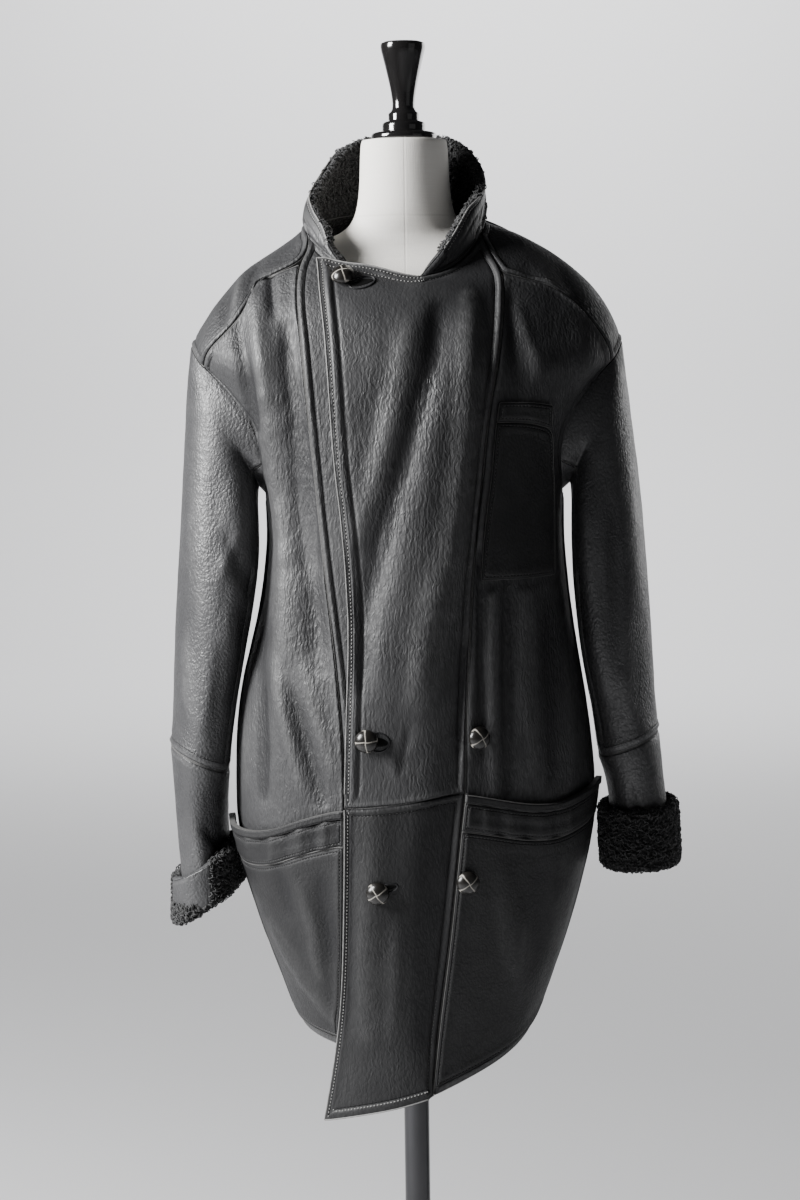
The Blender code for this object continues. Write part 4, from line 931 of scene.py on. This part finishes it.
skins = {node: BVHTree.FromPolygons([tuple(p) for p in points],
                                    [tuple(p.vertices) for p in piece.data.polygons])
         for node, (piece, points, _, _, _) in sewn.items()}
for name, pale, stitch_finish, size in (
        ("topstitching", False, thread, (0.00155, 0.00050, 0.00042)),
        ("edge_stitching", True, pale_thread, (0.00150, 0.00085, 0.00070))):
    stitch = bmesh.new()
    bmesh.ops.create_icosphere(stitch, subdivisions=1, radius=1.0)
    bmesh.ops.scale(stitch, vec=size, verts=stitch.verts)
    places = [laid_on(skins[node], *place)
              for node in sewn for place in stitch_places(node, pale, pitch=0.0042)]
    repeated(name, stitch, [place for place in places if place], stitch_finish)


# -------------------------------------------------------------------- raw edges
# The lapping front and the collar are not turned in: the skin is cut through, and
# its rubbed edge shows as a thin pale line, which a fine binding keeps from fraying.

bound_edge = Finish("bound_edge", {"Specular IOR Level": 0.5})
rub = bound_edge.noise(bound_edge.place(), 120, 3)
bound_edge.feed(Base_Color=bound_edge.colour(rub, (0.090, 0.089, 0.088), (0.300, 0.296, 0.290)),
                Roughness=0.45 + 0.2 * rub)


def edge_stretches(node, wanted):
    """The stretches of a piece's rim that are of these kinds, as lists of points."""
    stretches = []
    for loop, _, ahead in rim_runs(node):
        chosen = [rim_kind(node, *pair) in wanted for pair in zip(loop, ahead)]
        start = next((k for k in range(len(loop)) if chosen[k] and not chosen[k - 1]), 0)
        current = []
        for k in [*range(start, len(loop)), *range(start)]:
            if chosen[k]:
                current.append(loop[k])
            elif current:
                stretches.append(current)
                current = []
        stretches.append(current)
    return [stretch for stretch in stretches if len(stretch) > 8]


def binding(name, node, wanted, radius):
    """A fine round binding along the raw edges of a piece."""
    line = bpy.data.curves.new(name, "CURVE")
    line.dimensions = "3D"
    line.bevel_depth = radius
    line.bevel_resolution = 2
    line.use_fill_caps = True
    for stretch in edge_stretches(node, wanted):
        spline = line.splines.new("POLY")
        spline.points.add(len(stretch) - 1)
        spline.points.foreach_set("co", [c for point in stretch for c in (*point, 1.0)])
    cord = bpy.data.objects.new(name + "_line", line)
    bpy.context.scene.collection.objects.link(cord)
    graph = bpy.context.evaluated_depsgraph_get()
    work = bmesh.new()
    work.from_mesh(cord.evaluated_get(graph).to_mesh())
    bpy.data.objects.remove(cord)
    made = finished(name, work, bound_edge)


binding("lapel_binding", "front_left_middle", ("edge", "top"), 0.0008)
binding("skirt_binding", "front_left_skirt", ("skirt", "hem"), 0.0008)
binding("collar_binding", "collar", ("collar",), 0.0009)


# ------------------------------------------------------------------- buttonholes
# Each hole is a slit through both skins beside its button, worked round with a
# thick cord of leather, and pulled open a little by the button's shank. Its opening
# is a near-black disc: painted shade.

# The slit's near-black disc stands for the shade inside the opening: painted shade.
slit_painted_shade = Finish("slit", {"Roughness": 0.9, "Specular IOR Level": 0.1})
slit_painted_shade.feed(Base_Color=slit_painted_shade.mottled(300, 2, (0.002, 0.002, 0.002), (0.006, 0.006, 0.006)))
cord_radius = 0.0013
for name, node, x, z, long, wide, turn in (
        ("neck", "front_left_middle", -0.0505, 1.4340, 0.0150, 0.0085, 14),
        ("waist", "front_left_middle", -0.0405, 0.9110, 0.0145, 0.0110, -6),
        ("hip", "front_left_skirt", -0.0300, 0.7400, 0.0110, 0.0050, 12)):
    spot, normal, _, _ = skins[node].ray_cast(Vector((x, -1.0, z)), Vector((0, 1, 0)))
    place = (laid_on(skins[node], spot, Vector((1, 0, 0)), normal)
             @ Matrix.Rotation(math.radians(turn), 4, "Z"))
    slit = bmesh.new()
    bmesh.ops.create_uvsphere(slit, u_segments=24, v_segments=12, radius=1.0)
    bmesh.ops.scale(slit, vec=(long * 0.86, wide * 0.48, 0.0008), verts=slit.verts)
    bmesh.ops.transform(slit, matrix=place, verts=slit.verts)
    finished("buttonhole_slit_painted_shade_" + name, slit, slit_painted_shade)
    lip = bmesh.new()
    ring = bmesh.ops.create_circle(lip, segments=8, radius=cord_radius)["verts"]
    bmesh.ops.rotate(lip, cent=(0, 0, 0), matrix=Matrix.Rotation(math.pi / 2, 3, "X"), verts=ring)
    bmesh.ops.translate(lip, vec=(long, 0, 0), verts=ring)
    bmesh.ops.spin(lip, geom=lip.verts[:] + lip.edges[:], cent=(0, 0, 0), axis=(0, 0, 1),
                   angle=math.tau, steps=40, use_merge=True)
    bmesh.ops.remove_doubles(lip, verts=lip.verts, dist=1e-5)
    bmesh.ops.scale(lip, vec=(1.0, wide / long, 1.0), verts=lip.verts)
    bmesh.ops.recalc_face_normals(lip, faces=lip.faces)
    bmesh.ops.transform(lip, matrix=place, verts=lip.verts)
    # The cord takes the pockets' darker copy of the leather, with its painted shade.
    finished("buttonhole_cord_" + name, lip, pocket_skin_painted_shade)


# ------------------------------------------------------------------------ wool
# The fleece itself where it shows: tight curls that stand on the turned-back
# cuffs and inside the collar, and lie over their edges.

curl_finish = Finish("wool_curls", {"Sheen Weight": 0.10, "Sheen Roughness": 0.5,
                                    "Specular IOR Level": 0.25, "Roughness": 0.8})
curl_finish.feed(Base_Color=curl_finish.mottled(140, 2, (0.010, 0.010, 0.010),
                                                (0.075, 0.075, 0.076)))


def new_verts(geom):
    return [g for g in geom if isinstance(g, bmesh.types.BMVert)]


def curl_shape():
    """One curl: a thin lock wound most of the way round, tapering to its tip."""
    thickness, bend, turn, taper = 0.00098, 0.0019, math.radians(-64), 0.83
    curl = bmesh.new()
    ring = bmesh.ops.create_circle(curl, segments=3, radius=thickness, cap_ends=False)["verts"]
    bmesh.ops.translate(curl, vec=(bend, 0, 0), verts=ring)
    for _ in range(4):
        edges = [e for e in curl.edges if all(v in ring for v in e.verts)]
        ring = new_verts(bmesh.ops.extrude_edge_only(curl, edges=edges)["geom"])
        bmesh.ops.rotate(curl, cent=(0, 0, 0), matrix=Matrix.Rotation(turn, 3, "Y"), verts=ring)
        middle = sum((v.co for v in ring), Vector()) / len(ring)
        bmesh.ops.scale(curl, vec=(taper, taper, taper), space=Matrix.Translation(-middle),
                        verts=ring)
        bmesh.ops.translate(curl, vec=(0, 0.00045, 0.0002), verts=ring)
    bmesh.ops.triangulate(curl, faces=curl.faces)
    bmesh.ops.recalc_face_normals(curl, faces=curl.faces)
    return curl


def facing(way):
    """The turn that points a curl along a way."""
    return way.to_track_quat("Z", "Y").to_matrix().to_4x4()


def curl_places(points, quads, spacing, seed, keep):
    """Places for curls spread over faces, turned at random, where keep allows."""
    draw = random.Random(seed)
    places = []
    for quad in quads:
        a, b, c, d = (Vector(points[k]) for k in quad)
        normal = (c - a).cross(d - b)
        area = normal.length / 2
        normal.normalize()
        for _ in range(int(area / spacing ** 2 + draw.random())):
            s, t = draw.random(), draw.random()
            spot = a.lerp(b, s).lerp(d.lerp(c, s), t)
            if not keep(spot, normal):
                continue
            spin = Matrix.Rotation(draw.uniform(0, math.tau), 4, "Z")
            lean = Matrix.Rotation(draw.uniform(-0.6, 0.6), 4, "X")
            size = Matrix.Scale(draw.uniform(0.85, 1.45), 4)
            root = Matrix.Translation(spot + normal * 0.0002)
            places.append(root @ facing(normal) @ spin @ lean @ size)
    return places


def fringe_places(node, wanted, pitch, seed):
    """Places for curls that stand out beyond the wanted edges, behind the leather."""
    draw = random.Random(seed)
    places = []
    for loop, out, ahead in rim_runs(node):
        beyond = np.cross(ahead, out)
        for k in range(len(loop)):
            if not wanted(loop[k]):
                continue
            step = float(np.linalg.norm(loop[(k + 1) % len(loop)] - loop[k]))
            for _ in range(int(3 * step / pitch + draw.random())):
                spot = Vector(loop[k]) + Vector(ahead[k]) * draw.uniform(0, step)
                spot += Vector(beyond[k]) * draw.uniform(-0.0010, 0.0034)
                spot -= Vector(out[k]) * draw.uniform(0.0030, 0.0100)
                turn = facing(Vector([draw.uniform(-1, 1) for _ in range(3)]))
                size = Matrix.Scale(draw.uniform(0.9, 1.4), 4)
                places.append(Matrix.Translation(spot) @ turn @ size)
    return places


def off_leather_band(spot, normal):
    """The right cuff's wool: round its leather band and under its lower edge."""
    return normal.z < -0.55 or not on_leather_band(spot)


curl = curl_shape()
outside_and_edge, inside_and_edge = (0, 2), (1, 2)
for node, marks_kept, spacing, keep, fringed in (
        ("cuff_left", outside_and_edge, 0.0041, lambda spot, normal: True, lambda spot: True),
        ("cuff_right", outside_and_edge, 0.0039, off_leather_band, lambda spot: spot[2] < 0.70),
        ("collar", inside_and_edge, 0.0038, lambda spot, normal: collar_edge(spot), collar_edge)):
    points, quads, marks = wall_arrays(sewn[node][0].data)
    marks = np.where(marks == band, 0, marks)
    places = curl_places(points, quads[np.isin(marks, marks_kept)], spacing, len(node), keep)
    places += fringe_places(node, fringed, 0.0026, len(node))
    repeated(node + "_curls", curl, places, curl_finish)


# ------------------------------------------------- floor, light and the camera
# A plain pale floor that runs up into the wall behind. One large soft light is
# high on the coat's right, with a weak fill on its left in front, a light on the
# wall and one behind the coat. The camera stands in front.

backdrop = Finish("pale_backdrop", {"Roughness": 0.9, "Base Color": (0.62, 0.62, 0.63, 1.0)})
half_width = 9
floor_and_wall = ((-8, 0), (6.6, 0), (7.6, 0.12), (8.3, 0.6), (8.6, 1.4), (8.7, 6.0))
work = bmesh.new()
edge = [work.verts.new((-half_width, y, z)) for y, z in floor_and_wall]
lines = [work.edges.new(pair) for pair in zip(edge, edge[1:])]
swept = new_verts(bmesh.ops.extrude_edge_only(work, edges=lines)["geom"])
bmesh.ops.translate(work, vec=(2 * half_width, 0, 0), verts=swept)
bmesh.ops.recalc_face_normals(work, faces=work.faces)
bmesh.ops.reverse_faces(work, faces=work.faces)
mesh = bpy.data.meshes.new("floor")
work.to_mesh(mesh)
work.free()
floor = shown("floor", mesh, backdrop)
bend = floor.modifiers.new("bend", "SUBSURF")
bend.levels = bend.render_levels = 3


def soft_light(name, power, size, place, aim):
    lamp = bpy.data.lights.new(name, "AREA")
    lamp.energy = power
    lamp.shape = "RECTANGLE"
    lamp.size, lamp.size_y = size
    made = bpy.data.objects.new(name, lamp)
    made.location = place
    made.rotation_euler = (Vector(aim) - Vector(place)).to_track_quat("-Z", "Y").to_euler()
    bpy.context.scene.collection.objects.link(made)


soft_light("window", 330, (1.0, 1.5), (-2.5, -0.85, 2.3), (0, 0, 1.25))
soft_light("fill", 2.0, (2.0, 2.0), (2.4, -2.2, 1.6), (0, 0, 1.0))
soft_light("backdrop_light", 520, (5.0, 1.2), (0.3, 5.4, 4.4), (0.3, 8.6, 1.6))
soft_light("back_fill", 34, (2.0, 2.0), (2.5, 2.7, 1.8), (0, 0, 1.1))

sky = bpy.data.worlds.new("studio")
sky.use_nodes = True
sky_light = sky.node_tree.nodes["Background"].inputs
sky_light["Color"].default_value = (0.80, 0.82, 0.86, 1.0)
sky_light["Strength"].default_value = 0.05
bpy.context.scene.world = sky

lens = bpy.data.cameras.new("camera")
lens.sensor_fit = "VERTICAL"
lens.sensor_height = 36.0
lens.lens = 75.2
camera = bpy.data.objects.new("camera", lens)
camera_place, tipped_down, leaning = (-0.01204, -3.0, 1.377), 6.1, -0.785
camera.matrix_world = (Matrix.Translation(camera_place)
                       @ Matrix.Rotation(math.radians(90 - tipped_down), 4, "X")
                       @ Matrix.Rotation(math.radians(leaning), 4, "Z"))
bpy.context.scene.collection.objects.link(camera)
bpy.context.scene.camera = camera
